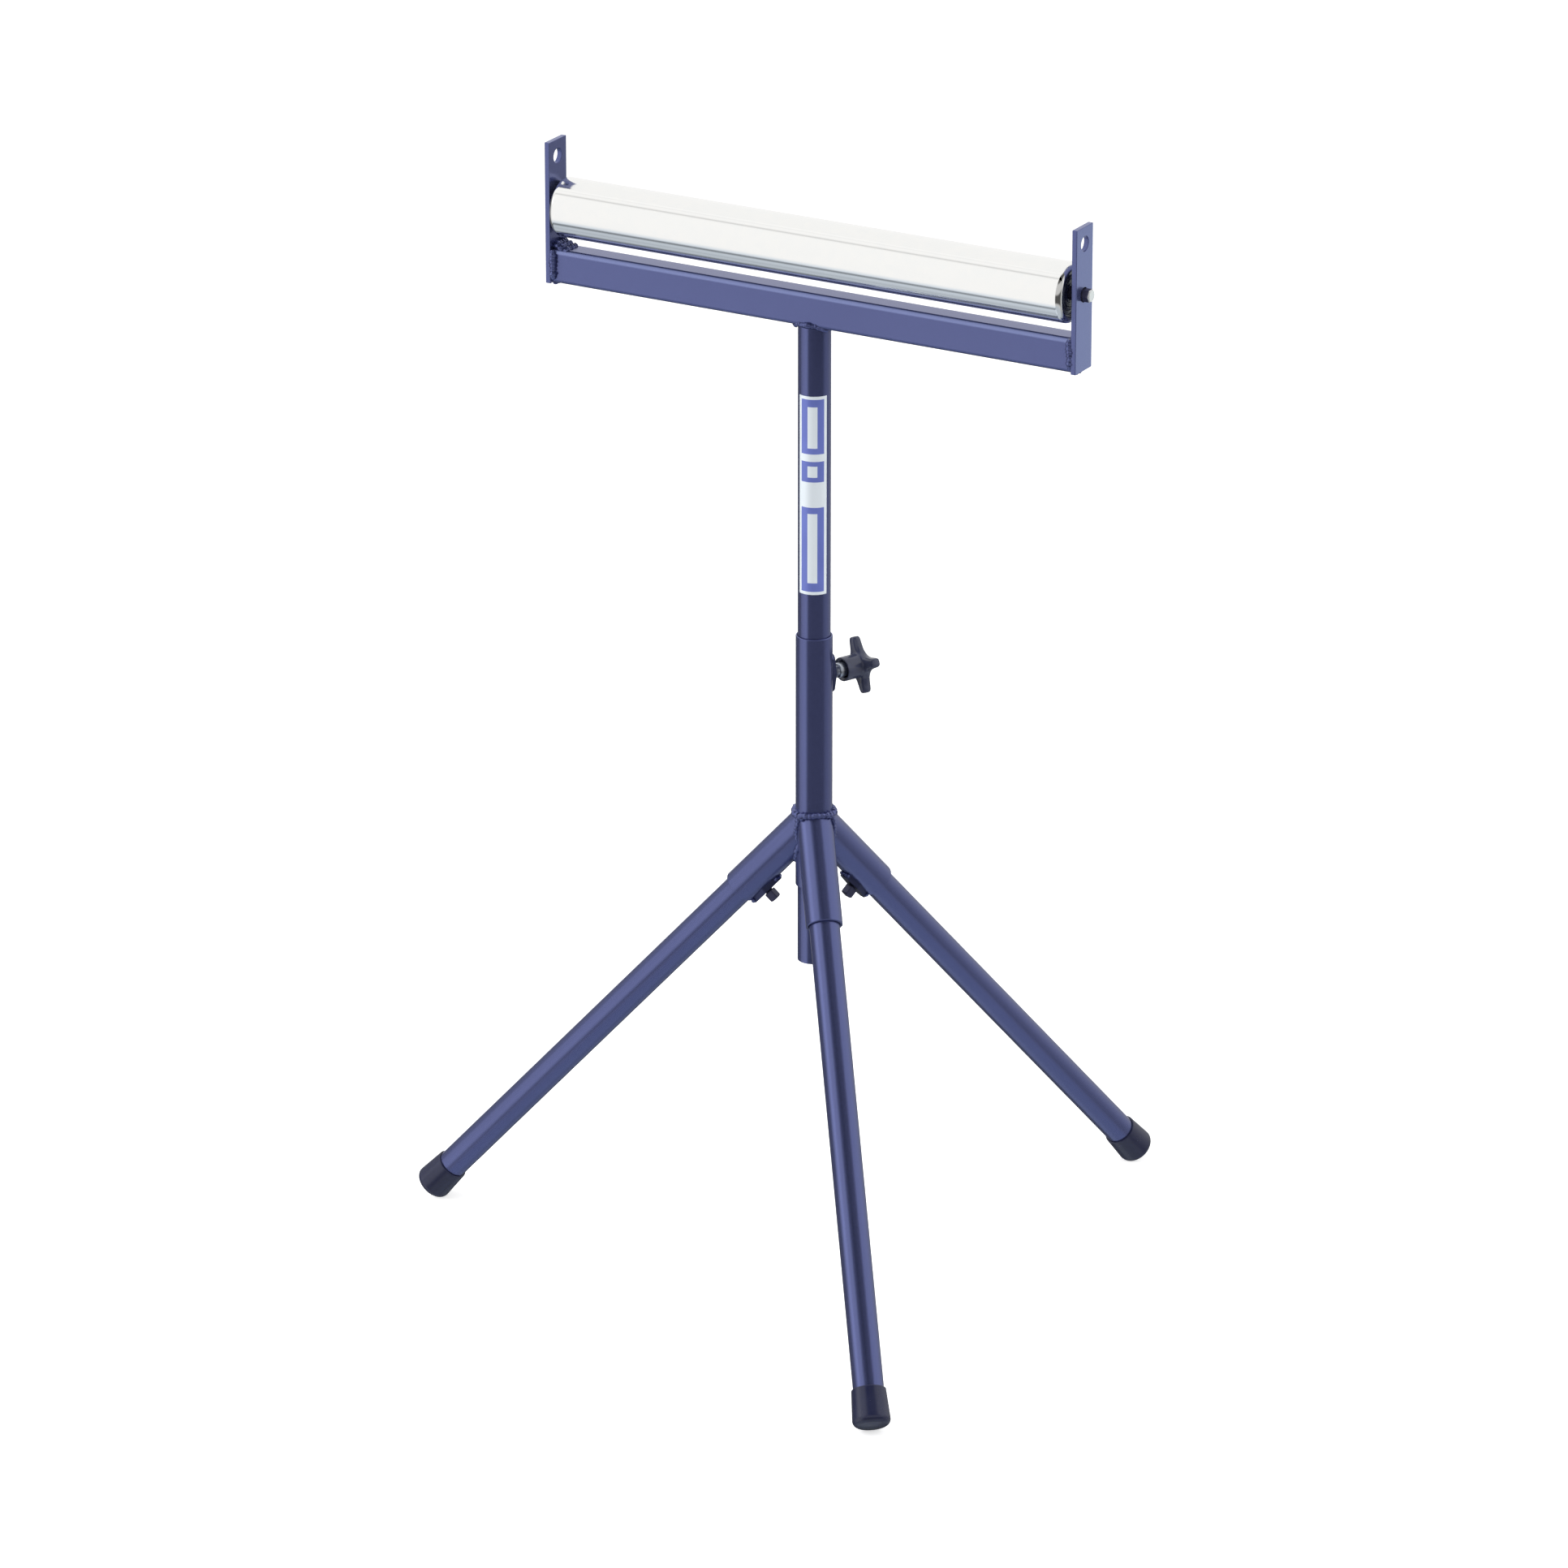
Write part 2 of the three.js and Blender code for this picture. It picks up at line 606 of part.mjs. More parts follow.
// Ring of the balls' path
function ballGroove() {
  const profile = [];
  for (let side = 0; side <= 2 * CORNER_STEPS; side += 1) {
    const angle = (Math.PI * side) / CORNER_STEPS;
    profile.push([
      cageRadius + grooveRadius * Math.cos(angle),
      bearingMiddle + grooveRadius * Math.sin(angle),
    ]);
  }
  return turnedX(profile, BEARING_SIDES);
}

const cageRing = turnedX(
  ring([
    [cageRadius - CAGE_WALL / 2, bearingMiddle - CAGE_WIDTH / 2],
    [cageRadius + CAGE_WALL / 2, bearingMiddle - CAGE_WIDTH / 2],
    [cageRadius + CAGE_WALL / 2, bearingMiddle + CAGE_WIDTH / 2],
    [cageRadius - CAGE_WALL / 2, bearingMiddle + CAGE_WIDTH / 2],
  ]),
  BEARING_SIDES,
);
const balls = [];
for (let ball = 0; ball < BALL_COUNT; ball += 1) {
  const angle = (2 * Math.PI * ball) / BALL_COUNT;
  const sphere = new THREE.SphereGeometry(BALL_D / 2, BALL_SIDES, BALL_SIDES - 2);
  sphere.translate(bearingMiddle, cageRadius * Math.cos(angle), cageRadius * Math.sin(angle));
  balls.push(sphere);
}
const ballCage = join(cageRing, ...balls);
const sealBack = housingFace - HOUSING_LIP;
const seal = turnedX(
  ring([
    [axleCorner + AXLE_HOLE_GAP, sealBack],
    [outerRaceBore, sealBack],
    [outerRaceBore, sealBack + SEAL_THICKNESS],
    [axleCorner + AXLE_HOLE_GAP, sealBack + SEAL_THICKNESS],
  ]),
  SMALL_SIDES,
);

const bearingPieces = [
  ["bearing_housing", housing, blackPlastic],
  ["bearing_outer_race", outerRace, bareSteel],
  ["bearing_inner_race", innerRace, bareSteel],
  ["bearing_ball_cage", ballCage, bareSteel],
  ["bearing_seal", seal, blackRubber],
];
const leftEnd = new THREE.Group();
leftEnd.rotation.z = Math.PI;
roller.add(leftEnd);
for (const [name, geometry, material] of bearingPieces) {
  place(roller, `${name}_right`, geometry, material);
  place(leftEnd, `${name}_left`, geometry, material);
}

// Axle: hexagonal bar with turned-down corners at its ends
const axleLeft = -bracketInner - BRACKET_THICKNESS - AXLE_OUT_LEFT;
const axleRight = bracketInner + BRACKET_THICKNESS + AXLE_OUT_RIGHT;
const axleEnds = turnedX(
  [
    [0, axleLeft],
    [axleCorner - AXLE_CHAMFER, axleLeft],
    [axleCorner + EDGE_BREAK, axleLeft + AXLE_CHAMFER + EDGE_BREAK],
    [axleCorner + EDGE_BREAK, axleRight - AXLE_CHAMFER - EDGE_BREAK],
    [axleCorner - AXLE_CHAMFER, axleRight],
    [0, axleRight],
  ],
  SMALL_SIDES,
);
place(roller, "axle", common(hexPrism(AXLE_FLATS, axleLeft - OVERCUT, axleRight + OVERCUT), axleEnds), bareSteel);

function axleRing(from) {
  const blank = rod(RING_D / 2, from, from + RING_THICKNESS, SMALL_SIDES).rotateY(RIGHT_ANGLE);
  return cut(blank, hexPrism(hexBore, from - OVERCUT, from + RING_THICKNESS + OVERCUT));
}

const springEnd = bearingBack - SEAT_GAP;
const springStart = springEnd - SPRING_LENGTH;
place(roller, "axle_stop_ring", axleRing(-bearingBack + SEAT_GAP), bareSteel);
place(roller, "axle_spring_seat", axleRing(springStart - SEAT_GAP - RING_THICKNESS), bareSteel);

class Helix extends THREE.Curve {
  getPoint(t, target = new THREE.Vector3()) {
    const angle = 2 * Math.PI * SPRING_TURNS * t;
    const radius = (SPRING_D - SPRING_WIRE) / 2;
    const along = springStart + SPRING_WIRE / 2 + (SPRING_LENGTH - SPRING_WIRE) * t;
    return target.set(along, radius * Math.cos(angle), radius * Math.sin(angle));
  }
}

const wireSection = new THREE.Shape().absarc(0, 0, SPRING_WIRE / 2, 0, 2 * Math.PI);
const spring = new THREE.ExtrudeGeometry(wireSection, {
  extrudePath: new Helix(),
  steps: COIL_STEPS * SPRING_TURNS,
  curveSegments: 3,
  bevelEnabled: false,
});
place(roller, "axle_spring", closed(spring), bareSteel);

export default stand;
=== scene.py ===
import json
import math

import bpy
from mathutils import Matrix, Vector


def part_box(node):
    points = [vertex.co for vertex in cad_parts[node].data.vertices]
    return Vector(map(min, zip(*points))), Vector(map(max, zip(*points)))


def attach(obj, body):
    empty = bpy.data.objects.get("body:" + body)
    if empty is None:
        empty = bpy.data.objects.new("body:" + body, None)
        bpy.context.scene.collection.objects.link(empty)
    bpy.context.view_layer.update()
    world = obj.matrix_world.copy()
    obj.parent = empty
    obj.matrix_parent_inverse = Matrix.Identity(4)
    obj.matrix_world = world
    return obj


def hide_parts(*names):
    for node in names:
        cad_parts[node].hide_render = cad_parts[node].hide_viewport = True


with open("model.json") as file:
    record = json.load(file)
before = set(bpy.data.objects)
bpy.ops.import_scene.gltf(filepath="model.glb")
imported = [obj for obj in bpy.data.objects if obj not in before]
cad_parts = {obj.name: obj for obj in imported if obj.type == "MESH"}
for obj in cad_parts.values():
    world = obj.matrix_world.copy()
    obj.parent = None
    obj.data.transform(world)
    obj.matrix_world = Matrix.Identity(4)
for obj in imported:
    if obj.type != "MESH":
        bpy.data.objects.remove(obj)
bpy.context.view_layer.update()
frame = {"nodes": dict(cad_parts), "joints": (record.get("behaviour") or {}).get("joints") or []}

# Column: a length of 33.7 mm steel pipe with rounded ends, drilled near its top for the clamp's stud.
# It is powder-coated blue together with all that is welded on it, in a slightly metallic satin shade
# with the faint orange peel of a sprayed coat.
MM = 0.001
UP = Vector((0, 0, 1))
COLUMN_WALL = 1.5 * MM
COLUMN_RIM = 1.1 * MM
STUD_RADIUS = 5 * MM
STUD_PLAY = 0.3 * MM
PIPE_SIDES = 96
PAINT_DEEP = (0.095, 0.111, 0.266, 1)
PAINT_FULL = (0.111, 0.131, 0.306, 1)
PAINT_CLOUDS = 7  # per metre, as the scale of every noise below
PAINT_PEEL = 480


class Value:
    """A number that varies over a surface. Arithmetic on it adds Math nodes."""

    def __init__(self, finish, socket):
        self.finish = finish
        self.socket = socket

    def __add__(self, other):
        return self.finish.math("ADD", self, other)

    def __sub__(self, other):
        return self.finish.math("SUBTRACT", self, other)

    def __rsub__(self, other):
        return self.finish.math("SUBTRACT", other, self)

    def __mul__(self, other):
        return self.finish.math("MULTIPLY", self, other)

    def __abs__(self):
        return self.finish.math("ABSOLUTE", self)

    __radd__ = __add__
    __rmul__ = __mul__


class Finish:
    """The nodes of one material, or of the world."""

    def __init__(self, owner):
        owner.use_nodes = True
        self.owner = owner
        self.tree = owner.node_tree

    def feed(self, socket, value):
        if isinstance(value, Value):
            self.tree.links.new(value.socket, socket)
        else:
            socket.default_value = value

    def node(self, kind, settings, sockets, output=0):
        node = self.tree.nodes.new("ShaderNode" + kind)
        for name, setting in settings.items():
            setattr(node, name, setting)
        for name, value in sockets.items():
            self.feed(node.inputs[name], value)
        return Value(self, node.outputs[output])

    def into(self, shader, sockets):
        for name, value in sockets.items():
            self.feed(self.tree.nodes[shader].inputs[name], value)

    def place(self):
        return self.node("TexCoord", {}, {}, "Object")

    def math(self, operation, first, second=0):
        return self.node("Math", {"operation": operation}, {0: first, 1: second})

    def axes(self, vector):
        split = self.node("SeparateXYZ", {}, {0: vector})
        return [Value(self, output) for output in split.socket.node.outputs]

    def noise(self, scale, detail, vector=None):
        vector = vector or self.place()
        return self.node("TexNoise", {}, {"Vector": vector, "Scale": scale, "Detail": detail})

    def step(self, value, start, end, kind="LINEAR"):
        """0 up to one limit of a value and 1 from the other on."""
        limits = {"Value": value, "From Min": start, "From Max": end}
        return self.node("MapRange", {"interpolation_type": kind}, limits)

    def mix(self, factor, first, second):
        return self.node("Mix", {"data_type": "RGBA"}, {0: factor, 6: first, 7: second}, 2)

    def bump(self, height, strength, distance):
        return self.node("Bump", {}, {"Height": height, "Strength": strength, "Distance": distance})


paint = Finish(bpy.data.materials.new("blue_powder_coat"))
paint_clouds = paint.noise(PAINT_CLOUDS, detail=3)
paint_peel = paint.noise(PAINT_PEEL, detail=2)
paint.into("Principled BSDF", {
    "Base Color": paint.mix(paint_clouds, PAINT_DEEP, PAINT_FULL),
    "Roughness": 0.22 + 0.05 * paint_peel,
    "Metallic": 0.8,
    "Coat Weight": 0.25,
    "Coat Roughness": 0.1,
    "Normal": paint.bump(paint_peel, strength=0.005, distance=0.2 * MM),
})


def pick(piece):
    """Makes a piece the only one that is selected."""
    bpy.ops.object.select_all(action="DESELECT")
    piece.select_set(True)
    bpy.context.view_layer.objects.active = piece


def modify(piece, kind, **settings):
    """Adds a modifier and applies it."""
    modifier = piece.modifiers.new(kind.lower(), kind)
    for name, setting in settings.items():
        setattr(modifier, name, setting)
    pick(piece)
    bpy.ops.object.modifier_apply(modifier=modifier.name)


def soften(piece, width, steps=3, corner=40):
    """Rounds the edges that turn by more than the corner angle, in degrees."""
    limit = math.radians(corner)
    modify(piece, "BEVEL", width=width, segments=steps, limit_method="ANGLE", angle_limit=limit)


def smooth(piece, corner=35):
    """Shades a piece smooth up to the corner angle, with its flat faces kept flat."""
    pick(piece)
    bpy.ops.object.shade_smooth_by_angle(angle=math.radians(corner))
    modify(piece, "WEIGHTED_NORMAL", keep_sharp=True)


def cylinder(name, radius, low, high, sides=PIPE_SIDES, ends="NGON"):
    """An upright cylinder on the Z axis between two heights."""
    bpy.ops.object.select_all(action="DESELECT")
    bpy.ops.mesh.primitive_cylinder_add(
        vertices=sides,
        radius=radius,
        depth=high - low,
        end_fill_type=ends,
        location=(0, 0, (low + high) / 2),
    )
    piece = bpy.context.object
    piece.name = name
    bpy.ops.object.transform_apply(location=True, rotation=False, scale=False)
    return piece


def pipe(name, radius, wall, low, high, rim):
    """An open cylinder that gets a wall and rounded ends."""
    piece = cylinder(name, radius, low, high, ends="NOTHING")
    modify(piece, "SOLIDIFY", thickness=wall, offset=-1)
    soften(piece, rim)
    return piece


def place(piece, point, z_axis, x_axis):
    """Turns a piece's own Z and X to two directions, moves it to a point, and settles its mesh there."""
    z = Vector(z_axis).normalized()
    y = z.cross(Vector(x_axis)).normalized()
    turn = Matrix((y.cross(z), y, z)).transposed().to_4x4()
    piece.matrix_world = Matrix.Translation(point) @ turn
    pick(piece)
    bpy.ops.object.transform_apply(location=True, rotation=True, scale=True)
    return piece


def cut(piece, tool, operation="DIFFERENCE"):
    """Cuts a piece with a tool, which is used up."""
    modify(piece, "BOOLEAN", object=tool, operation=operation, solver="EXACT")
    bpy.data.objects.remove(tool)


def fit(piece, body, finish, slot, *nodes):
    """Gives a piece its finish and its place in the frame."""
    piece.data.materials.clear()
    piece.data.materials.append(finish.owner)
    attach(piece, body)
    if nodes:
        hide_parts(*nodes)


joint = {each["name"]: each for each in frame["joints"]}
column_low, column_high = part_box("column_outer_tube")
column_radius = column_high.x
clamp_point = Vector(joint["clamp_turn"]["pos_m"])
clamp_axis = Vector(joint["clamp_turn"]["axis"])

column = pipe("column_pipe", column_radius, COLUMN_WALL, column_low.z, column_high.z, COLUMN_RIM)
stud_drill = cylinder("stud_drill", STUD_RADIUS + STUD_PLAY, 0, 2 * column_radius)
cut(column, place(stud_drill, clamp_point, clamp_axis, UP))
smooth(column)
fit(column, "base", paint, "blue_paint", "column_outer_tube")

# Leg sockets: three short pipes of the column's own size, sawn to a saddle against it and to a mitre
# against each other, then welded all round. A leg is pushed into each one's open lower end.
LEGS = ("front", "right", "left")
SOCKET_REACH = 107.5 * MM  # open end, from the crossing of the leg axes
SOCKET_WALL = 2.5 * MM
SOCKET_RIM = 0.8 * MM
SOCKET_SUNK = 0.2 * MM  # into the column's wall, under the weld
SECTOR_HALF = math.pi / len(LEGS)


def open_whole(piece):
    """Opens a mesh with all of it selected."""
    pick(piece)
    bpy.ops.object.mode_set(mode="EDIT")
    bpy.ops.mesh.select_all(action="SELECT")


def close_mesh():
    bpy.ops.object.mode_set(mode="OBJECT")


def saw(piece, point, normal):
    """Takes off what lies on the normal's side of a plane and closes the cut."""
    open_whole(piece)
    bpy.ops.mesh.bisect(plane_co=point, plane_no=normal, use_fill=True, clear_outer=True)
    close_mesh()


def level(direction, turn=0):
    """The level direction under another one, turned about the column."""
    flat = Vector((direction.x, direction.y, 0)).normalized()
    return Matrix.Rotation(turn, 3, "Z") @ flat


def copied(piece, name):
    """A copy of a piece, with a mesh of its own."""
    pick(piece)
    bpy.ops.object.duplicate()
    twin = bpy.context.object
    twin.name = name
    return twin


leg_axis = {side: Vector(joint[f"leg_{side}_pull"]["axis"]).normalized() for side in LEGS}
leg_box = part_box("leg_tube_front")
leg_middle = (leg_box[0] + leg_box[1]) / 2
leg_middle_reach = leg_middle.to_2d().length / leg_axis["front"].to_2d().length
hub = leg_middle - leg_middle_reach * leg_axis["front"]

socket_blank = pipe("socket_blank", column_radius, SOCKET_WALL, 0, SOCKET_REACH, SOCKET_RIM)
place(socket_blank, hub, leg_axis["front"], UP)
for hand in (1, -1):
    saw(socket_blank, hub, level(leg_axis["front"], hand * (SECTOR_HALF + math.pi / 2)))
core_radius = column_radius - SOCKET_SUNK
cut(socket_blank, cylinder("core", core_radius, column_low.z - SOCKET_REACH, column_high.z))
smooth(socket_blank)
for side, axis in leg_axis.items():
    turn = leg_axis["front"].to_2d().angle_signed(axis.to_2d())
    own_x = level(Vector((1, 0, 0)), -turn)
    socket = place(copied(socket_blank, f"socket_{side}_pipe"), (0, 0, 0), UP, own_x)
    fit(socket, "base", paint, "blue_paint", f"leg_socket_{side}")
bpy.data.objects.remove(socket_blank)

# Clamp pads: oval plates, hollowed to the pipe under them and welded on at their tips.
# Each is tapped for a clamp screw: one on the column for the knob, one under each socket for a leg.
# Their coat is duller, and the darker blue on them is painted shade for the shadow that they sit in.
PAD_LENGTH = 37 * MM
PAD_WIDTH = 15 * MM
PAD_TIP_RADIUS = 5 * MM
PAD_THICKNESS = 3.5 * MM
PAD_EDGE = 0.9 * MM
PAD_SUNK = 0.1 * MM
SCREW_RADIUS = 4 * MM
THREAD_PLAY = 0.3 * MM
# The pads' darker blue is painted shade, not a colour of the coat.
PAD_SHADED_DEEP = (0.034, 0.039, 0.092, 1)
PAD_SHADED_FULL = (0.044, 0.052, 0.122, 1)

pad_shaded_paint = Finish(bpy.data.materials.new("blue_powder_coat_painted_shade"))
pad_shaded_clouds = pad_shaded_paint.noise(PAINT_PEEL, detail=3)
pad_shaded_paint.into("Principled BSDF", {
    "Base Color": pad_shaded_paint.mix(pad_shaded_clouds, PAD_SHADED_DEEP, PAD_SHADED_FULL),
    "Roughness": 0.3 + 0.1 * pad_shaded_clouds,
    "Metallic": 0.8,
})


def clamp_pad(name, pipe_radius, screw_radius):
    """A pad across Z, its length along X: the hull of three discs, cut to the pipe and drilled."""
    outer = pipe_radius + PAD_THICKNESS
    tip = PAD_LENGTH / 2 - PAD_TIP_RADIUS
    discs = [cylinder("disc", PAD_WIDTH / 2, 0, outer)]
    for offset in (tip, -tip):
        disc = cylinder("disc", PAD_TIP_RADIUS, 0, outer)
        discs.append(place(disc, (offset, 0, 0), UP, (1, 0, 0)))
    for disc in discs:
        disc.select_set(True)
    bpy.ops.object.join()
    pad = bpy.context.object
    pad.name = name
    open_whole(pad)
    bpy.ops.mesh.convex_hull()
    close_mesh()
    carrier = cylinder("carrier", pipe_radius - PAD_SUNK, -PAD_LENGTH, PAD_LENGTH)
    cut(pad, place(carrier, (0, 0, 0), (1, 0, 0), UP))
    cut(pad, cylinder("tap", screw_radius + THREAD_PLAY, 0, 2 * outer))
    soften(pad, PAD_EDGE, corner=50)
    smooth(pad)
    return pad


pad_reach = SOCKET_REACH - PAD_LENGTH / 2
screw_axis = {side: Vector(joint[f"set_screw_{side}_turn"]["axis"]).normalized() for side in LEGS}

column_pad = clamp_pad("column_pad_plate", column_radius, STUD_RADIUS)
place(column_pad, clamp_point, clamp_axis, UP)
fit(column_pad, "base", pad_shaded_paint, "blue_paint", "column_clamp_pad")
pad_blank = clamp_pad("pad_blank", column_radius, SCREW_RADIUS)
for side, axis in leg_axis.items():
    pad = copied(pad_blank, f"pad_{side}_plate")
    place(pad, hub + pad_reach * axis, screw_axis[side], axis)
    fit(pad, "base", pad_shaded_paint, "blue_paint", f"leg_clamp_pad_{side}")
bpy.data.objects.remove(pad_blank)

# Welds of the base: rippled beads round each socket where it meets the column, down the valleys between
# neighbouring sockets, and in short dabs at the tips of the clamp pads. They lie under the same paint.
WELD_STEP = 0.7 * MM  # between the points of a bead
WELD_RIPPLE = 3.6 * MM  # between the ripples that the torch leaves
WELD_RIPPLE_DEPTH = 0.3  # share of the bead's radius, as the next two
WELD_SWELL = 0.06
WELD_END = 0.55
WELD_SWELL_PACE = 1.7  # radians of the swell in a ripple
WELD_LUMPS = 4.5 * MM
WELD_LUMP_HEIGHT = 2.4 * MM
WELD_PROUD = 1 * MM  # of a bead's middle, out of its corner
SADDLE_WELD = 4.4 * MM
SADDLE_WAIST = 0.4
SADDLE_LEAN = 0.4  # rise of a bead's outward way, for 1 outward
CROTCH_LEAN = -2
CROTCH_STRETCH = 1.3  # of the crotch's bead, against the saddle's
VALLEY_WELD = 2.6 * MM
COLUMN_PAD_WELD = 1.3 * MM
LEG_PAD_WELD = 2 * MM
DAB_LENGTH = 15 * MM
DAB_WRAP = 150  # degrees round the pad's tip
DAB_SPREAD = 1.1  # of the tip's radius
DAB_SEAT = 0.3  # of the pad's thickness

lumps = bpy.data.textures.new("weld_lumps", "CLOUDS")
lumps.noise_scale = WELD_LUMPS


def along(route, length):
    """Points of a route, a function of 0 to 1, at weld steps."""
    count = max(8, round(length / WELD_STEP))
    return [Vector(route(step / count)) for step in range(count + 1)]


def close_seams(piece, gap=0.001 * MM):
    """Merges the points of a mesh that meet within a gap, and turns its faces outwards."""
    open_whole(piece)
    bpy.ops.mesh.remove_doubles(threshold=gap)
    bpy.ops.mesh.normals_make_consistent(inside=False)
    close_mesh()


def weld(name, points, radius, body, waist=0):
    """A rippled, lumpy bead along points, thin at its ends and waist, and kept out of the column's bore."""
    bpy.ops.object.select_all(action="DESELECT")
    bpy.ops.curve.primitive_nurbs_path_add()
    bead = bpy.context.object
    bead.name = name
    curve = bead.data
    curve.splines.clear()
    spline = curve.splines.new("POLY")
    spline.points.add(len(points) - 1)
    for index, point in enumerate(points):
        run = index * WELD_STEP / WELD_RIPPLE
        end = min(index, len(points) - 1 - index) * WELD_STEP / radius
        ripple = 1 - WELD_RIPPLE_DEPTH * (run % 1) ** 2 + WELD_SWELL * math.sin(WELD_SWELL_PACE * run)
        fullness = 1 - waist * (1 - abs(2 * index / (len(points) - 1) - 1))
        spline.points[index].co = (*point, 1)
        spline.points[index].radius = ripple * fullness * min(1, WELD_END + (1 - WELD_END) * end)
    curve.bevel_depth = radius
    curve.bevel_resolution = 3
    curve.use_fill_caps = True
    bpy.ops.object.convert(target="MESH")
    bead = bpy.context.object
    close_seams(bead, gap=0.01 * MM)
    modify(bead, "DISPLACE", texture=lumps, texture_coords="LOCAL", strength=WELD_LUMP_HEIGHT)
    if body == "base":
        for corner in bead.data.vertices:
            inside = column_radius - COLUMN_WALL / 2 - corner.co.to_2d().length
            if inside > 0:
                corner.co += inside * level(corner.co)
    smooth(bead, corner=60)
    fit(bead, body, paint, "blue_paint")
    return bead


def on_column(axis, turn, rise, lean):
    """A bead's middle on the column's wall, at an angle from a leg and a rise over the hub."""
    outward = level(axis, turn)
    return hub + column_radius * outward + rise * UP + WELD_PROUD * (outward + lean * UP).normalized()


leg_tilt = math.acos(-leg_axis["front"].z)
upper_rise = column_radius * math.tan(leg_tilt / 2)
lower_drop = column_radius / math.tan(leg_tilt / 2)
sine, cosine = math.sin(leg_tilt), math.cos(leg_tilt)
saddle_length = 2 * SECTOR_HALF * column_radius


def valley(axis, share):
    """A point of the line where two neighbouring sockets meet, from its top to its foot."""
    rise = upper_rise * math.cos(SECTOR_HALF) * (1 - share) - lower_drop * math.cos(SECTOR_HALF) * share
    slope = 1 - (sine * math.cos(SECTOR_HALF)) ** 2
    half = -sine * cosine * math.cos(SECTOR_HALF) * rise
    reach = (half + math.sqrt(half ** 2 - slope * ((rise * sine) ** 2 - column_radius ** 2))) / slope
    return hub + (reach + WELD_PROUD / 2) * level(axis, SECTOR_HALF) + (rise + WELD_PROUD / 2) * UP


for side, axis in leg_axis.items():
    def saddle(share, axis=axis):
        turn = SECTOR_HALF * (2 * share - 1)
        return on_column(axis, turn, upper_rise * math.cos(turn), SADDLE_LEAN)

    def crotch(share, axis=axis):
        turn = SECTOR_HALF * (2 * share - 1)
        return on_column(axis, turn, -lower_drop * math.cos(turn), CROTCH_LEAN)

    weld(f"weld_{side}_saddle", along(saddle, saddle_length), SADDLE_WELD, "base", waist=SADDLE_WAIST)
    weld(f"weld_{side}_crotch", along(crotch, CROTCH_STRETCH * saddle_length), VALLEY_WELD, "base")
    valley_path = along(lambda share, axis=axis: valley(axis, share), upper_rise + lower_drop / 2)
    weld(f"weld_{side}_valley", valley_path, VALLEY_WELD, "base")


def pad_dab(name, point, outward, lengthwise, radius):
    """A dab round the tip of a pad, whose middle is on a pipe's axis."""
    across = outward.cross(lengthwise)
    seat = column_radius + DAB_SEAT * PAD_THICKNESS

    def dab(share):
        turn = math.radians(DAB_WRAP * (share - 0.5))
        ahead = PAD_LENGTH / 2 - PAD_TIP_RADIUS * (1 - math.cos(turn))
        aside = DAB_SPREAD * PAD_TIP_RADIUS * math.sin(turn)
        height = seat - (column_radius - math.sqrt(column_radius ** 2 - aside ** 2))
        return point + ahead * lengthwise + aside * across + height * outward

    weld(name, along(dab, DAB_LENGTH), radius, "base")


pad_dab("weld_column_pad", clamp_point, clamp_axis, UP, COLUMN_PAD_WELD)
for tip_name, end in (("low", 1), ("high", -1)):
    for side, axis in leg_axis.items():
        pad_middle = hub + pad_reach * axis
        pad_dab(f"weld_{side}_pad_{tip_name}", pad_middle, screw_axis[side], end * axis, LEG_PAD_WELD)

# Legs: three straight steel tubes in the same blue, square at both ends and pushed right up to the column.
# A set screw under each socket holds its leg, and a cap covers its lower end.
LEG_LENGTH = 535 * MM
LEG_RADIUS = 14 * MM
LEG_WALL = 1.5 * MM
LEG_RIM = 0.3 * MM

leg_start = leg_middle_reach - LEG_LENGTH / 2
leg_end = leg_start + LEG_LENGTH
leg_blank = pipe("leg_blank", LEG_RADIUS, LEG_WALL, leg_start, leg_end, LEG_RIM)
smooth(leg_blank)
for side, axis in leg_axis.items():
    leg = place(copied(leg_blank, f"leg_{side}_pipe"), hub, axis, UP)
    fit(leg, f"leg_{side}", paint, "blue_paint", f"leg_tube_{side}")
bpy.data.objects.remove(leg_blank)

# Foot caps: black moulded rubber cups, pushed over the legs' ends. They flare a little towards the floor
# and their ends are well rounded, so the leaning leg stands on the rounding.
FOOT_LENGTH = 34 * MM
FOOT_FLOOR = 6 * MM
FOOT_RIM_RADIUS = 15.7 * MM
FOOT_END_RADIUS = 17.3 * MM
FOOT_ROUNDING = 6 * MM
FOOT_RIM_ROUNDING = 0.8 * MM
FOOT_CROWN = 1.2 * MM
FOOT_PLAY = 0.3 * MM
RUBBER = (0.01, 0.012, 0.038, 1)
RUBBER_WORN = (0.016, 0.019, 0.05, 1)
RUBBER_GRAIN = 1500
RUBBER_SCUFFS = 60

rubber = Finish(bpy.data.materials.new("black_rubber"))
rubber_grain = rubber.noise(RUBBER_GRAIN, detail=3)
rubber_scuffs = rubber.noise(RUBBER_SCUFFS, detail=4)
rubber.into("Principled BSDF", {
    "Base Color": rubber.mix(rubber_scuffs, RUBBER, RUBBER_WORN),
    "Roughness": 0.2 + 0.12 * rubber_scuffs,
    "Normal": rubber.bump(rubber_grain, strength=0.05, distance=0.2 * MM),
})


def arc(centre, radius, start, end, steps=8):
    """Points of an arc in a turned profile, with its angles in degrees from outwards to up."""
    points = []
    for step in range(steps + 1):
        angle = math.radians(start + (end - start) * step / steps)
        points.append((centre[0] + radius * math.cos(angle), centre[1] + radius * math.sin(angle)))
    return points


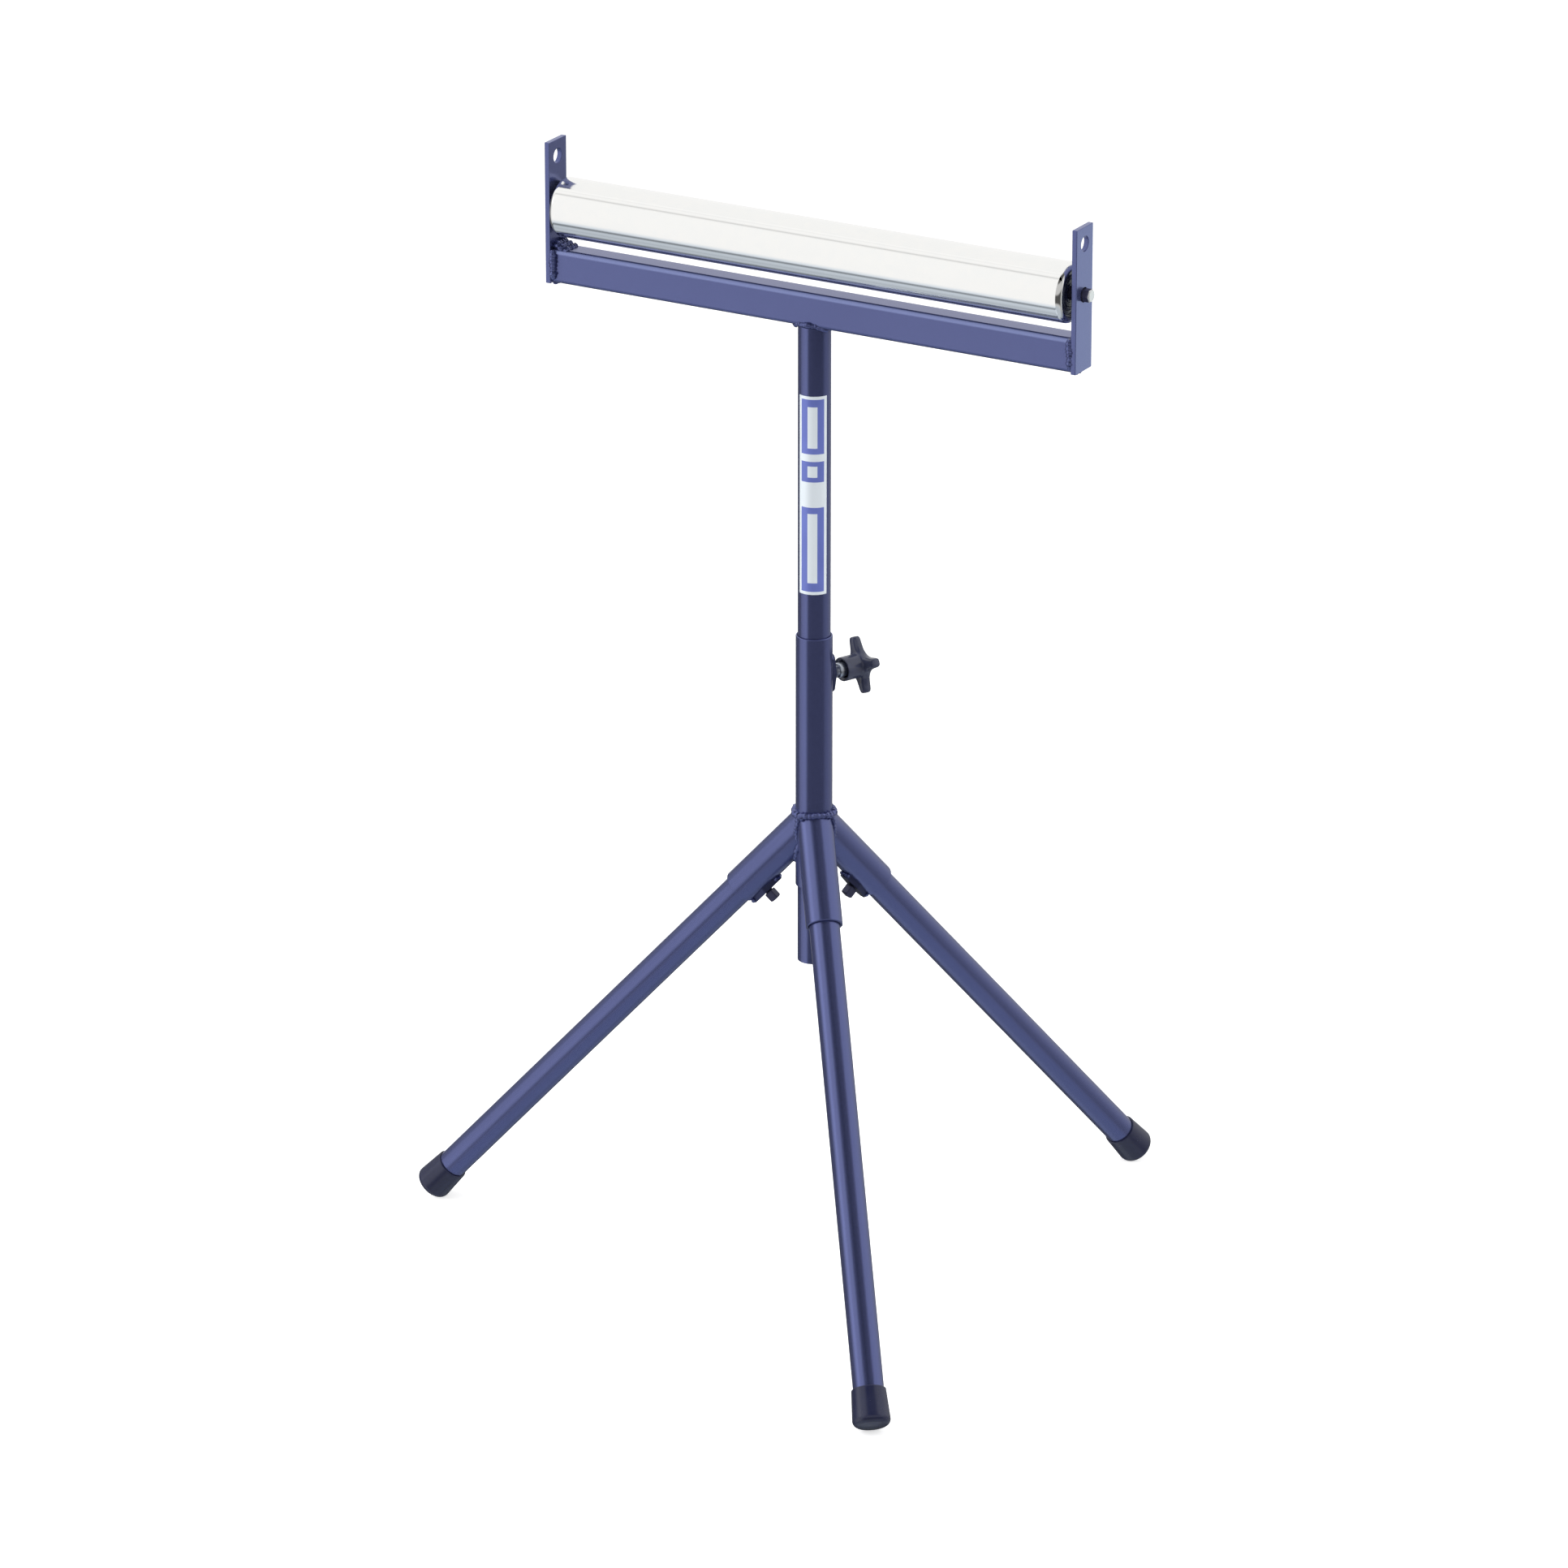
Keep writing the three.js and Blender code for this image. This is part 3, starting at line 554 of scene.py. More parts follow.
def drawn(name, points):
    """A line of edges: one corner, drawn out from point to point."""
    bpy.ops.object.select_all(action="DESELECT")
    bpy.ops.mesh.primitive_plane_add(size=MM)
    piece = bpy.context.object
    piece.name = name
    bpy.ops.object.mode_set(mode="EDIT")
    bpy.ops.mesh.select_mode(type="VERT")
    bpy.ops.mesh.merge(type="CENTER")
    bpy.ops.transform.translate(value=points[0])
    for start, end in zip(points, points[1:]):
        step = Vector(end) - Vector(start)
        bpy.ops.mesh.extrude_vertices_move(TRANSFORM_OT_translate={"value": step})
    close_mesh()
    return piece


def turned(name, profile, sides=PIPE_SIDES):
    """A piece turned about Z from (radius, height) pairs, closed on the axis or on itself."""
    piece = drawn(name, [(radius, 0, height) for radius, height in profile])
    open_whole(piece)
    bpy.ops.mesh.spin(steps=sides, angle=2 * math.pi, center=(0, 0, 0), axis=UP)
    close_mesh()
    close_seams(piece)
    smooth(piece)
    return piece


foot_end = leg_end + FOOT_PLAY + FOOT_FLOOR
foot_rim = foot_end - FOOT_LENGTH
foot_bore = LEG_RADIUS + FOOT_PLAY
foot_corner = FOOT_END_RADIUS - FOOT_ROUNDING
crown_points = [
    (foot_corner * share, foot_end + FOOT_CROWN * (1 - share ** 2))
    for share in (0.75, 0.5, 0.25, 0)
]
foot_profile = [
    (0, foot_end - FOOT_FLOOR),
    (foot_bore, foot_end - FOOT_FLOOR),
    (foot_bore, foot_rim),
    *arc((FOOT_RIM_RADIUS - FOOT_RIM_ROUNDING, foot_rim + FOOT_RIM_ROUNDING), FOOT_RIM_ROUNDING, -90, 0),
    *arc((foot_corner, foot_end - FOOT_ROUNDING), FOOT_ROUNDING, 0, 90, steps=14),
    *crown_points,
]
foot_blank = turned("foot_blank", foot_profile)
for side, axis in leg_axis.items():
    foot = place(copied(foot_blank, f"foot_{side}_cap"), hub, axis, UP)
    fit(foot, f"leg_{side}", rubber, "black_rubber", f"foot_cap_{side}")
bpy.data.objects.remove(foot_blank)

# Leg set screws: blackened M8 screws with square heads, run through the pads until they bear on the legs.
# The head is forged, with rounded corners and a slightly domed end.
SCREW_PITCH = 1.25 * MM
THREAD_SHARE = 0.52  # depth of a thread, of its pitch
THREAD_STEPS = 32
HEAD_SIDE = 8.5 * MM
HEAD_HEIGHT = 9.5 * MM
HEAD_STANDOFF = 0.5 * MM
HEAD_EDGE = 0.8 * MM
HEAD_INSET = 1.4 * MM
HEAD_DOME = 0.7 * MM
BLACK_STEEL = (0.024, 0.025, 0.06, 1)
BLACK_STEEL_RUBBED = (0.06, 0.063, 0.12, 1)
BLACK_STEEL_RUB = 260

black_steel = Finish(bpy.data.materials.new("black_steel"))
steel_rub = black_steel.noise(BLACK_STEEL_RUB, detail=5)
black_steel.into("Principled BSDF", {
    "Base Color": black_steel.mix(steel_rub, BLACK_STEEL, BLACK_STEEL_RUBBED),
    "Roughness": 0.3 + 0.2 * steel_rub,
    "Metallic": 0.55,
    "Normal": black_steel.bump(steel_rub, strength=0.12, distance=0.2 * MM),
})


def choose(piece, test):
    """Opens a mesh with only those faces selected that pass a test."""
    pick(piece)
    bpy.ops.object.mode_set(mode="EDIT")
    bpy.ops.mesh.select_mode(type="FACE")
    bpy.ops.mesh.select_all(action="DESELECT")
    close_mesh()
    for face in piece.data.polygons:
        face.select = test(face)
    bpy.ops.object.mode_set(mode="EDIT")


def thread(name, radius, pitch, low, high):
    """A threaded rod on the Z axis: one ridge, wound up along the rod and sawn off square."""
    root = radius - THREAD_SHARE * pitch
    start = low - pitch
    turns = math.ceil((high - low) / pitch) + 2
    ridge = [(root, 0, start), (radius, 0, start + pitch / 2), (root, 0, start + pitch)]
    rod = drawn(name, ridge)
    modify(
        rod,
        "SCREW",
        screw_offset=pitch,
        iterations=turns,
        steps=THREAD_STEPS,
        render_steps=THREAD_STEPS,
        use_merge_vertices=True,
    )
    close_seams(rod)
    saw(rod, (0, 0, high), UP)
    saw(rod, (0, 0, low), -UP)
    smooth(rod, corner=25)
    return rod


def block(name, low, high):
    """A box between its lowest and its highest corner."""
    bpy.ops.object.select_all(action="DESELECT")
    bpy.ops.mesh.primitive_cube_add(size=1, location=(low + high) / 2)
    piece = bpy.context.object
    piece.name = name
    piece.scale = high - low
    bpy.ops.object.transform_apply(location=True, rotation=True, scale=True)
    return piece


def square_screw(name):
    """A square-headed screw, its shank on the Z axis of the pipe that it enters."""
    head_base = column_radius + PAD_THICKNESS + HEAD_STANDOFF
    shank = thread("shank", SCREW_RADIUS, SCREW_PITCH, LEG_RADIUS + THREAD_PLAY, head_base + HEAD_STANDOFF)
    head_low = Vector((-HEAD_SIDE / 2, -HEAD_SIDE / 2, head_base + HEAD_DOME / 2))
    head_high = Vector((HEAD_SIDE / 2, HEAD_SIDE / 2, head_base + HEAD_HEIGHT - HEAD_DOME / 2))
    head = block(name, head_low, head_high)
    choose(head, lambda face: face.normal.z > 0.5)
    bpy.ops.mesh.inset(thickness=HEAD_INSET, depth=HEAD_DOME)
    close_mesh()
    soften(head, HEAD_EDGE, corner=15)
    smooth(head, corner=30)
    shank.select_set(True)
    bpy.ops.object.join()
    return head


screw_blank = square_screw("screw_blank")
for side, axis in leg_axis.items():
    screw = copied(screw_blank, f"screw_{side}_square")
    place(screw, hub + pad_reach * axis, screw_axis[side], axis)
    fit(screw, f"set_screw_{side}", black_steel, "black_steel", f"leg_set_screw_{side}")
bpy.data.objects.remove(screw_blank)

# Mast: a 30 mm steel tube that slides and turns in the column, painted as the rest. Its lower end is open.
# A printed panel without words is stuck on its upper half: blue, with a pale border, bands and bars.
MAST_WALL = 2 * MM
MAST_RIM = 0.4 * MM
PANEL_LOW = 660 * MM
PANEL_HIGH = 848 * MM
PANEL_FACES = -67.5  # azimuth, in degrees
PANEL_WRAP = 106  # degrees of the mast's round
PANEL_GLUE = 0.02 * MM
PANEL_THICKNESS = 0.14 * MM
PRINT_EDGE = 0.15 * MM
PANEL_BORDER = 2.8 * MM
PANEL_BANDS = ((743 * MM, 767 * MM), (786.5 * MM, 793.5 * MM))  # low and high end, right across
PANEL_BARS = ((671 * MM, 737 * MM), (771.5 * MM, 782 * MM), (799 * MM, 838 * MM))  # the same, in the middle
PANEL_BAR_HALF = 4.6 * MM
PANEL_WHITE = (0.72, 0.78, 0.83, 1)
PANEL_BLUE = (0.15, 0.19, 0.56, 1)
PANEL_SHADE = (0.115, 0.15, 0.45, 1)
PANEL_CLOUDS = 40

mast_low, mast_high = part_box("mast_tube")
mast_radius = mast_high.x
mast = pipe("mast_pipe", mast_radius, MAST_WALL, mast_low.z, mast_high.z, MAST_RIM)
smooth(mast)
fit(mast, "mast", paint, "blue_paint", "mast_tube")

panel_finish = Finish(bpy.data.materials.new("printed_panel"))
panel_x, panel_y, panel_z = panel_finish.axes(panel_finish.place())
panel_turn = math.radians(PANEL_FACES)
panel_ahead = math.cos(panel_turn) * panel_x + math.sin(panel_turn) * panel_y
panel_aside = math.cos(panel_turn) * panel_y - math.sin(panel_turn) * panel_x
panel_angle = panel_finish.math("ARCTAN2", panel_aside, panel_ahead)
panel_middle = (PANEL_LOW + PANEL_HIGH) / 2
panel_half_width = mast_radius * math.radians(PANEL_WRAP / 2)
side_room = panel_half_width - mast_radius * abs(panel_angle)
end_room = (PANEL_HIGH - PANEL_LOW) / 2 - abs(panel_z - panel_middle)
edge_room = panel_finish.math("MINIMUM", side_room, end_room)


def printed(value, low, high):
    """1 between two limits of a value, with the edges that print has."""
    above = panel_finish.step(value, low, low + PRINT_EDGE)
    below = panel_finish.step(value, high + PRINT_EDGE, high)
    return above * below


in_border = printed(edge_room, PANEL_BORDER, PANEL_HIGH)
in_bars = printed(side_room, panel_half_width - PANEL_BAR_HALF, panel_half_width)
blue_part = in_border
for low, high in PANEL_BANDS:
    blue_part = blue_part - in_border * printed(panel_z, low, high)
for low, high in PANEL_BARS:
    blue_part = blue_part - in_bars * printed(panel_z, low, high)
shade = panel_finish.noise(PANEL_CLOUDS, detail=2)
field = panel_finish.mix(shade, PANEL_SHADE, PANEL_BLUE)
panel_finish.into("Principled BSDF", {
    "Base Color": panel_finish.mix(blue_part, PANEL_WHITE, field),
    "Roughness": 0.3 + 0.1 * shade,
    "Metallic": 0.15,
})

panel_radius = mast_radius + PANEL_GLUE
panel = cylinder("mast_panel", panel_radius, PANEL_LOW, PANEL_HIGH, sides=4 * PIPE_SIDES, ends="NOTHING")


def off_panel(face):
    turn = math.atan2(face.center.y, face.center.x) - panel_turn
    return abs(math.remainder(turn, 2 * math.pi)) > math.radians(PANEL_WRAP / 2)


choose(panel, off_panel)
bpy.ops.mesh.delete(type="FACE")
close_mesh()
modify(panel, "SOLIDIFY", thickness=PANEL_THICKNESS, offset=1)
smooth(panel)
fit(panel, "mast", panel_finish, "blue_paint")

# Height clamp: a threaded stud that bears on the mast, a bright bush crimped on it, and a black moulded
# star knob with four rounded arms over the bush. Turning the knob screws all three in or out.
STUD_PITCH = 1.5 * MM
STUD_SHOWN = 5.5 * MM
STUD_IN_BUSH = 10 * MM
BUSH_RADIUS = 7 * MM
BUSH_SHOWN = 5.5 * MM
BUSH_DEPTH = 12 * MM
BUSH_EDGE = 1.3 * MM
BUSH_PLAY = 0.3 * MM
KNOB_TURN = -20  # of the arms, in degrees
KNOB_CAGE_SIDES = 8
KNOB_HUB_RADIUS = 11.25 * MM
KNOB_HUB_TOP_RADIUS = 11.5 * MM
KNOB_HUB_LENGTH = 17 * MM
KNOB_RECESS = 1.5 * MM
KNOB_LIP = 1.7 * MM
KNOB_LIP_EDGE = 1.36 * MM
KNOB_CROWN = 1.2 * MM
KNOB_CROWN_RADIUS = 6.9 * MM
KNOB_ARMS = 4
KNOB_ARM_ROOT = 0.75  # of the hub's radius, past which a face is drawn out into an arm
KNOB_ARM_THICKNESS = 9 * MM
KNOB_ARM_STEPS = (  # reach from the stud's axis, width, thickness
    (14.5 * MM, 12.6 * MM, 9.8 * MM),
    (18.5 * MM, 10.8 * MM, 9.6 * MM),
    (22.5 * MM, 9.8 * MM, 9.2 * MM),
    (25.4 * MM, 8.8 * MM, 8 * MM),
    (26.4 * MM, 6.2 * MM, 5.4 * MM),
)
STEEL = (0.64, 0.68, 0.75, 1)
STEEL_DULL = (0.46, 0.49, 0.57, 1)
PLASTIC = (0.026, 0.03, 0.058, 1)
PLASTIC_PALE = (0.04, 0.045, 0.08, 1)
STEEL_STAIN = 180
PLASTIC_GRAIN = 1100
PLASTIC_FLOW = 90

steel = Finish(bpy.data.materials.new("bare_steel"))
steel_stain = steel.noise(STEEL_STAIN, detail=4)
steel.into("Principled BSDF", {
    "Base Color": steel.mix(steel_stain, STEEL_DULL, STEEL),
    "Roughness": 0.28 + 0.15 * steel_stain,
    "Metallic": 1.0,
    "Normal": steel.bump(steel_stain, strength=0.05, distance=0.1 * MM),
})

plastic = Finish(bpy.data.materials.new("black_plastic"))
plastic_grain = plastic.noise(PLASTIC_GRAIN, detail=3)
plastic_flow = plastic.noise(PLASTIC_FLOW, detail=3)
plastic.into("Principled BSDF", {
    "Base Color": plastic.mix(plastic_flow, PLASTIC, PLASTIC_PALE),
    "Roughness": 0.13 + 0.1 * plastic_flow,
    "Specular IOR Level": 0.6,
    "Normal": plastic.bump(plastic_grain, strength=0.07, distance=0.2 * MM),
})

down = -UP
bush_start = column_radius + PAD_THICKNESS + STUD_SHOWN
stud_end = bush_start + STUD_IN_BUSH
stud = thread("knob_stud_screw", STUD_RADIUS, STUD_PITCH, mast_radius + THREAD_PLAY, stud_end)
place(stud, clamp_point, clamp_axis, down)
fit(stud, "clamp_stud", steel, "bare_steel", "knob_stud")

hub_start = bush_start + BUSH_SHOWN
bush_end = hub_start + BUSH_DEPTH
bush_bore = STUD_RADIUS + THREAD_PLAY
bush = turned("knob_bush_ring", [
    (bush_bore, bush_end),
    (bush_bore, bush_start + BUSH_EDGE),
    (bush_bore + BUSH_EDGE, bush_start),
    *arc((BUSH_RADIUS - BUSH_EDGE, bush_start + BUSH_EDGE), BUSH_EDGE, -90, 0, steps=5),
    (BUSH_RADIUS, bush_end),
    (bush_bore, bush_end),
])
place(bush, clamp_point, clamp_axis, down)
fit(bush, "clamp_knob", steel, "bright_zinc", "knob_bush")

arm_start = hub_start + KNOB_HUB_LENGTH
arm_end = arm_start + KNOB_ARM_THICKNESS
pocket = BUSH_RADIUS + BUSH_PLAY
cage_profile = [
    (0, bush_end + BUSH_PLAY),
    (pocket, bush_end + BUSH_PLAY),
    (pocket, hub_start + KNOB_RECESS),
    (KNOB_HUB_RADIUS - KNOB_LIP, hub_start + KNOB_RECESS),
    (KNOB_HUB_RADIUS - KNOB_LIP_EDGE, hub_start),
    (KNOB_HUB_RADIUS, hub_start),
    (KNOB_HUB_RADIUS, hub_start + KNOB_LIP),
    (KNOB_HUB_RADIUS, arm_start - KNOB_LIP),
    (KNOB_HUB_TOP_RADIUS, arm_start),
    (KNOB_HUB_TOP_RADIUS, arm_end),
    (KNOB_CROWN_RADIUS, arm_end + KNOB_CROWN),
    (0, arm_end + KNOB_CROWN),
]
# Subdivision draws a cage of few sides in towards the axis, so the cage is made that much wider.
cage_fullness = 6 / (4 + 2 * math.cos(2 * math.pi / KNOB_CAGE_SIDES))
cage = [(cage_fullness * radius, height) for radius, height in cage_profile]
knob = turned("knob_star", cage, sides=KNOB_CAGE_SIDES)
for arm in range(KNOB_ARMS):
    ahead = Matrix.Rotation(2 * math.pi * arm / KNOB_ARMS, 3, "Z") @ Vector((1, 0, 0))
    aside = UP.cross(ahead)

    def under_arm(face):
        at_root = face.center.dot(ahead) > KNOB_ARM_ROOT * KNOB_HUB_TOP_RADIUS
        return at_root and arm_start < face.center.z < arm_end

    middle = (arm_start + arm_end) / 2
    reach = KNOB_HUB_TOP_RADIUS
    choose(knob, under_arm)
    for step_reach, width, thickness in KNOB_ARM_STEPS:
        bpy.ops.mesh.extrude_region_move(TRANSFORM_OT_translate={"value": (step_reach - reach) * ahead})
        close_mesh()
        for corner in knob.data.vertices:
            if corner.select:
                off_middle = corner.co.dot(aside)
                across = math.copysign(width / 2, off_middle) if abs(off_middle) > MM else 0
                height = middle + math.copysign(thickness / 2, corner.co.z - middle)
                corner.co = step_reach * ahead + across * aside + height * UP
        bpy.ops.object.mode_set(mode="EDIT")
        reach = step_reach
    bpy.ops.mesh.select_all(action="DESELECT")
    close_mesh()
modify(knob, "SUBSURF", levels=3, render_levels=3)
smooth(knob, corner=60)
knob_x = Matrix.Rotation(math.radians(KNOB_TURN), 3, clamp_axis) @ down
place(knob, clamp_point, clamp_axis, knob_x)
fit(knob, "clamp_knob", plastic, "black_plastic", "knob_grip")

# Crossbar: a rectangular steel tube with rounded corners, welded flat across the top of the mast.
# Its ends are closed by the brackets, and a paler blue along its upper edges is a painted highlight.
BAR_WALL = 2 * MM
BAR_CORNER = 4.6 * MM
BAR_CORNER_STEPS = 8
# A paler blue on the bar's upper edges: a painted highlight.
EDGE_HIGHLIGHT = (0.2, 0.235, 0.46, 1)
EDGE_HIGHLIGHT_IN = (0.55 * BAR_CORNER, 0.3 * BAR_CORNER)  # from the bar's face: where it starts and is full
EDGE_HIGHLIGHT_DOWN = (BAR_CORNER, 0.75 * BAR_CORNER)  # the same from the bar's top

bar_low, bar_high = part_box("crossbar")
bar = block("crossbar_tube", bar_low, bar_high)
choose(bar, lambda face: abs(face.normal.x) > 0.5)
bpy.ops.mesh.delete(type="FACE")
close_mesh()
soften(bar, BAR_CORNER, steps=BAR_CORNER_STEPS)
modify(bar, "SOLIDIFY", thickness=BAR_WALL, offset=-1)
smooth(bar)

bar_paint = Finish(paint.owner.copy())
bar_paint.owner.name = "blue_powder_coat_painted_highlight"
bar_y, bar_z = bar_paint.axes(bar_paint.place())[1:]
# Where the painted highlight lies: near the bar's faces and near its top.
highlight_near_face = bar_paint.step(abs(bar_y), *(bar_high.y - inset for inset in EDGE_HIGHLIGHT_IN))
highlight_near_top = bar_paint.step(bar_z, *(bar_high.z - drop for drop in EDGE_HIGHLIGHT_DOWN))
bar_clouds = bar_paint.noise(PAINT_CLOUDS, detail=3)
bar_coat = bar_paint.mix(bar_clouds, PAINT_DEEP, PAINT_FULL)
bar_paint.into("Principled BSDF", {"Base Color": bar_paint.mix(highlight_near_face * highlight_near_top, bar_coat, EDGE_HIGHLIGHT)})
fit(bar, "head", bar_paint, "blue_paint", "crossbar")

# Brackets: lengths of flat bar, welded upright on the crossbar's ends. Each has a round hole for the axle
# and a spare hole near its top, and its sawn edges are only just broken.
AXLE_HOLE_RADIUS = 6.75 * MM
SPARE_HOLE_RADIUS = 7 * MM
SPARE_HOLE_DROP = 15.5 * MM
BRACKET_EDGE = 0.5 * MM

axle_height = joint["roller_spin"]["pos_m"][2]
bracket_low, bracket_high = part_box("bracket_right")
spare_height = bracket_high.z - SPARE_HOLE_DROP
bracket_blank = block("bracket_blank", bracket_low, bracket_high)
for height, radius in ((axle_height, AXLE_HOLE_RADIUS), (spare_height, SPARE_HOLE_RADIUS)):
    drill = cylinder("drill", radius, bracket_low.x - radius, bracket_high.x + radius)
    cut(bracket_blank, place(drill, (0, 0, height), (1, 0, 0), UP))
soften(bracket_blank, BRACKET_EDGE, steps=2)
smooth(bracket_blank)
for side in ("right", "left"):
    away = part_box(f"bracket_{side}")[0] - bracket_low
    bracket = place(copied(bracket_blank, f"bracket_{side}_bar"), away, UP, (1, 0, 0))
    fit(bracket, "head", paint, "blue_paint", f"bracket_{side}")
bpy.data.objects.remove(bracket_blank)

# Welds of the head: a rippled bead up each corner between crossbar and bracket, runs across the crossbar's
# top, which are heavy at the left end, and a bead under the crossbar all round the mast's top.
BAR_WELD = 3.6 * MM
BAR_WELD_IN = 1.9 * MM  # of a bead's middle, from the corner along the bar
BAR_WELD_OUT = 1 * MM  # and off its face
UNDER_WELD = 2.6 * MM
UNDER_WELD_DROP = 0.8 * MM
TOP_RUNS = {  # distance from the bracket, rise over the bar, radius
    "left": (
        (2.5 * MM, 2.2 * MM, 4.4 * MM),
        (7.5 * MM, 0.8 * MM, 4 * MM),
        (12.5 * MM, -0.6 * MM, 3.4 * MM),
    ),
    "right": ((1 * MM, 0.2 * MM, 2.6 * MM),),
}
MAST_WELD = 2.8 * MM
MAST_WELD_PLAY = 0.1 * MM
MAST_WELD_DROP = 0.7 * MM
MAST_WELD_IN = 4.6 * MM  # of the bead's middle in front and behind, where it climbs on the mast's rim
MAST_WELD_CLIMB = 2.7 * MM
MAST_CLIMB_FROM = 0.44  # sine of the turn from the bar's run, where the climb starts
MAST_CLIMB_FULL = 0.84


def straight(start, run):
    """Points of a straight bead."""
    return along(lambda share: start + share * run, run.length)


bar_depth = bar_high.y
for side, hand in (("left", -1), ("right", 1)):
    bar_end = hand * bar_high.x
    for face_name, face_y in (("front", -bar_depth), ("back", bar_depth)):
        off_face = math.copysign(BAR_WELD_OUT, face_y)
        foot = Vector((bar_end - hand * BAR_WELD_IN, face_y + off_face, bar_low.z + BAR_CORNER))
        rise = (bar_high.z - bar_low.z - BAR_CORNER) * UP
        weld(f"weld_{side}_{face_name}", straight(foot, rise), BAR_WELD, "head")
    for number, (away, over, radius) in enumerate(TOP_RUNS[side]):
        start = Vector((bar_end - hand * away, -bar_depth + radius / 2, bar_high.z + over))
        run = Vector((0, 2 * bar_depth - radius, 0))
        weld(f"weld_{side}_top_{number}", straight(start, run), radius, "head")
    under = Vector((bar_end, -bar_depth + BAR_CORNER, bar_low.z - UNDER_WELD_DROP))
    across = Vector((0, 2 * (bar_depth - BAR_CORNER), 0))
    weld(f"weld_{side}_under", straight(under, across), UNDER_WELD, "head")

ring_radius = mast_radius + MAST_WELD + MAST_WELD_PLAY


def mast_ring(share):
    turn = 2 * math.pi * share
    climb = (abs(math.sin(turn)) - MAST_CLIMB_FROM) / (MAST_CLIMB_FULL - MAST_CLIMB_FROM)
    on_rim = min(1, max(0, climb))
    radius = ring_radius - MAST_WELD_IN * on_rim
    height = bar_low.z - MAST_WELD_DROP + MAST_WELD_CLIMB * on_rim
    return (radius * math.cos(turn), radius * math.sin(turn), height)


ring_weld = weld("weld_mast_ring", along(mast_ring, 2 * math.pi * ring_radius), MAST_WELD, "head")
for corner in ring_weld.data.vertices:
    if corner.co.to_2d().length < mast_radius + MAST_WELD_PLAY:
        corner.co.z = max(corner.co.z, bar_low.z + MAST_WELD_PLAY)

# Roller: a bright zinc-plated steel tube whose ends are rolled in over black bearing housings.
# In each end a seal covers a ball bearing with a hexagonal bore.
ROLLER_WALL = 1.5 * MM
ROLLER_CURL = 5 * MM
HOUSING_DEPTH = 14 * MM
HOUSING_LIP = 2.4 * MM
HOUSING_GROOVE = 2.2 * MM
HOUSING_RIM = 1.6 * MM
HOUSING_EDGE = 0.6 * MM
BEARING_RADIUS = 16 * MM
RACE_WALL = 3 * MM
SEAT_PLAY = 0.3 * MM
SEAL_THICKNESS = 1.3 * MM
SEAL_BORE = 6.75 * MM
ZINC = (0.915, 0.91, 0.89, 1)
ZINC_COOL = (0.9, 0.9, 0.885, 1)
ZINC_SPANGLE = 140
ZINC_DRAWING = (900, 25, 25)  # streaks per metre, along and across the roller

zinc = Finish(bpy.data.materials.new("bright_zinc"))
zinc_spangle = zinc.node("TexVoronoi", {}, {"Vector": zinc.place(), "Scale": ZINC_SPANGLE}, "Color")
zinc_grey = zinc.node("SeparateColor", {}, {0: zinc_spangle})
zinc_streak_place = zinc.node("VectorMath", {"operation": "MULTIPLY"}, {0: zinc.place(), 1: ZINC_DRAWING})
zinc_streaks = zinc.noise(1, detail=2, vector=zinc_streak_place)
zinc.into("Principled BSDF", {
    "Base Color": zinc.mix(zinc_grey, ZINC_COOL, ZINC),
    "Roughness": 0.08 + 0.05 * zinc_streaks,
    "Metallic": 1.0,
    "Normal": zinc.bump(zinc_streaks, strength=0.03, distance=0.05 * MM),
})

roller_low, roller_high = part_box("roller_tube")
roller_end = roller_high.x
roller_radius = (roller_high.z - roller_low.z) / 2
curl_radius = roller_radius - ROLLER_CURL
curl_end = roller_end - ROLLER_CURL
curl_bore = ROLLER_CURL - ROLLER_WALL
shell = turned("roller_shell", [
    *arc((curl_radius, -curl_end), ROLLER_CURL, -90, 0),
    *arc((curl_radius, curl_end), ROLLER_CURL, 0, 90),
    *arc((curl_radius, curl_end), curl_bore, 90, 0),
    *arc((curl_radius, -curl_end), curl_bore, 0, -90),
    (curl_radius, -roller_end),
], sides=2 * PIPE_SIDES)
axle_point = Vector((0, 0, axle_height))
place(shell, axle_point, (1, 0, 0), UP)
fit(shell, "roller", zinc, "bright_zinc", "roller_tube")

housing_radius = roller_radius - ROLLER_WALL - SEAT_PLAY
housing_face = roller_end - ROLLER_WALL - SEAT_PLAY
groove_outer = housing_radius - curl_bore - HOUSING_RIM
groove_floor = housing_face - HOUSING_GROOVE
bearing_bore = BEARING_RADIUS - RACE_WALL
lip_back = housing_face - HOUSING_LIP
housing_profile = [
    (bearing_bore + SEAT_PLAY, lip_back),
    (bearing_bore + SEAT_PLAY, housing_face - 2 * HOUSING_EDGE),
    (bearing_bore + SEAT_PLAY + HOUSING_EDGE, housing_face - HOUSING_EDGE),
    *arc((BEARING_RADIUS - HOUSING_EDGE, housing_face - 2 * HOUSING_EDGE), HOUSING_EDGE, 90, 0, steps=4),
    *arc((BEARING_RADIUS + HOUSING_EDGE, groove_floor + HOUSING_EDGE), HOUSING_EDGE, 180, 270, steps=4),
    *arc((groove_outer - HOUSING_EDGE, groove_floor + HOUSING_EDGE), HOUSING_EDGE, -90, 0, steps=4),
    *arc((groove_outer + HOUSING_EDGE, housing_face - HOUSING_EDGE), HOUSING_EDGE, 180, 90, steps=4),
    *arc((housing_radius - curl_bore, housing_face - curl_bore), curl_bore, 90, 0, steps=5),
    (housing_radius, housing_face - HOUSING_DEPTH),
    (BEARING_RADIUS + SEAT_PLAY, housing_face - HOUSING_DEPTH),
    (BEARING_RADIUS + SEAT_PLAY, lip_back),
    (bearing_bore + SEAT_PLAY, lip_back),
]
seal_face = lip_back + SEAL_THICKNESS
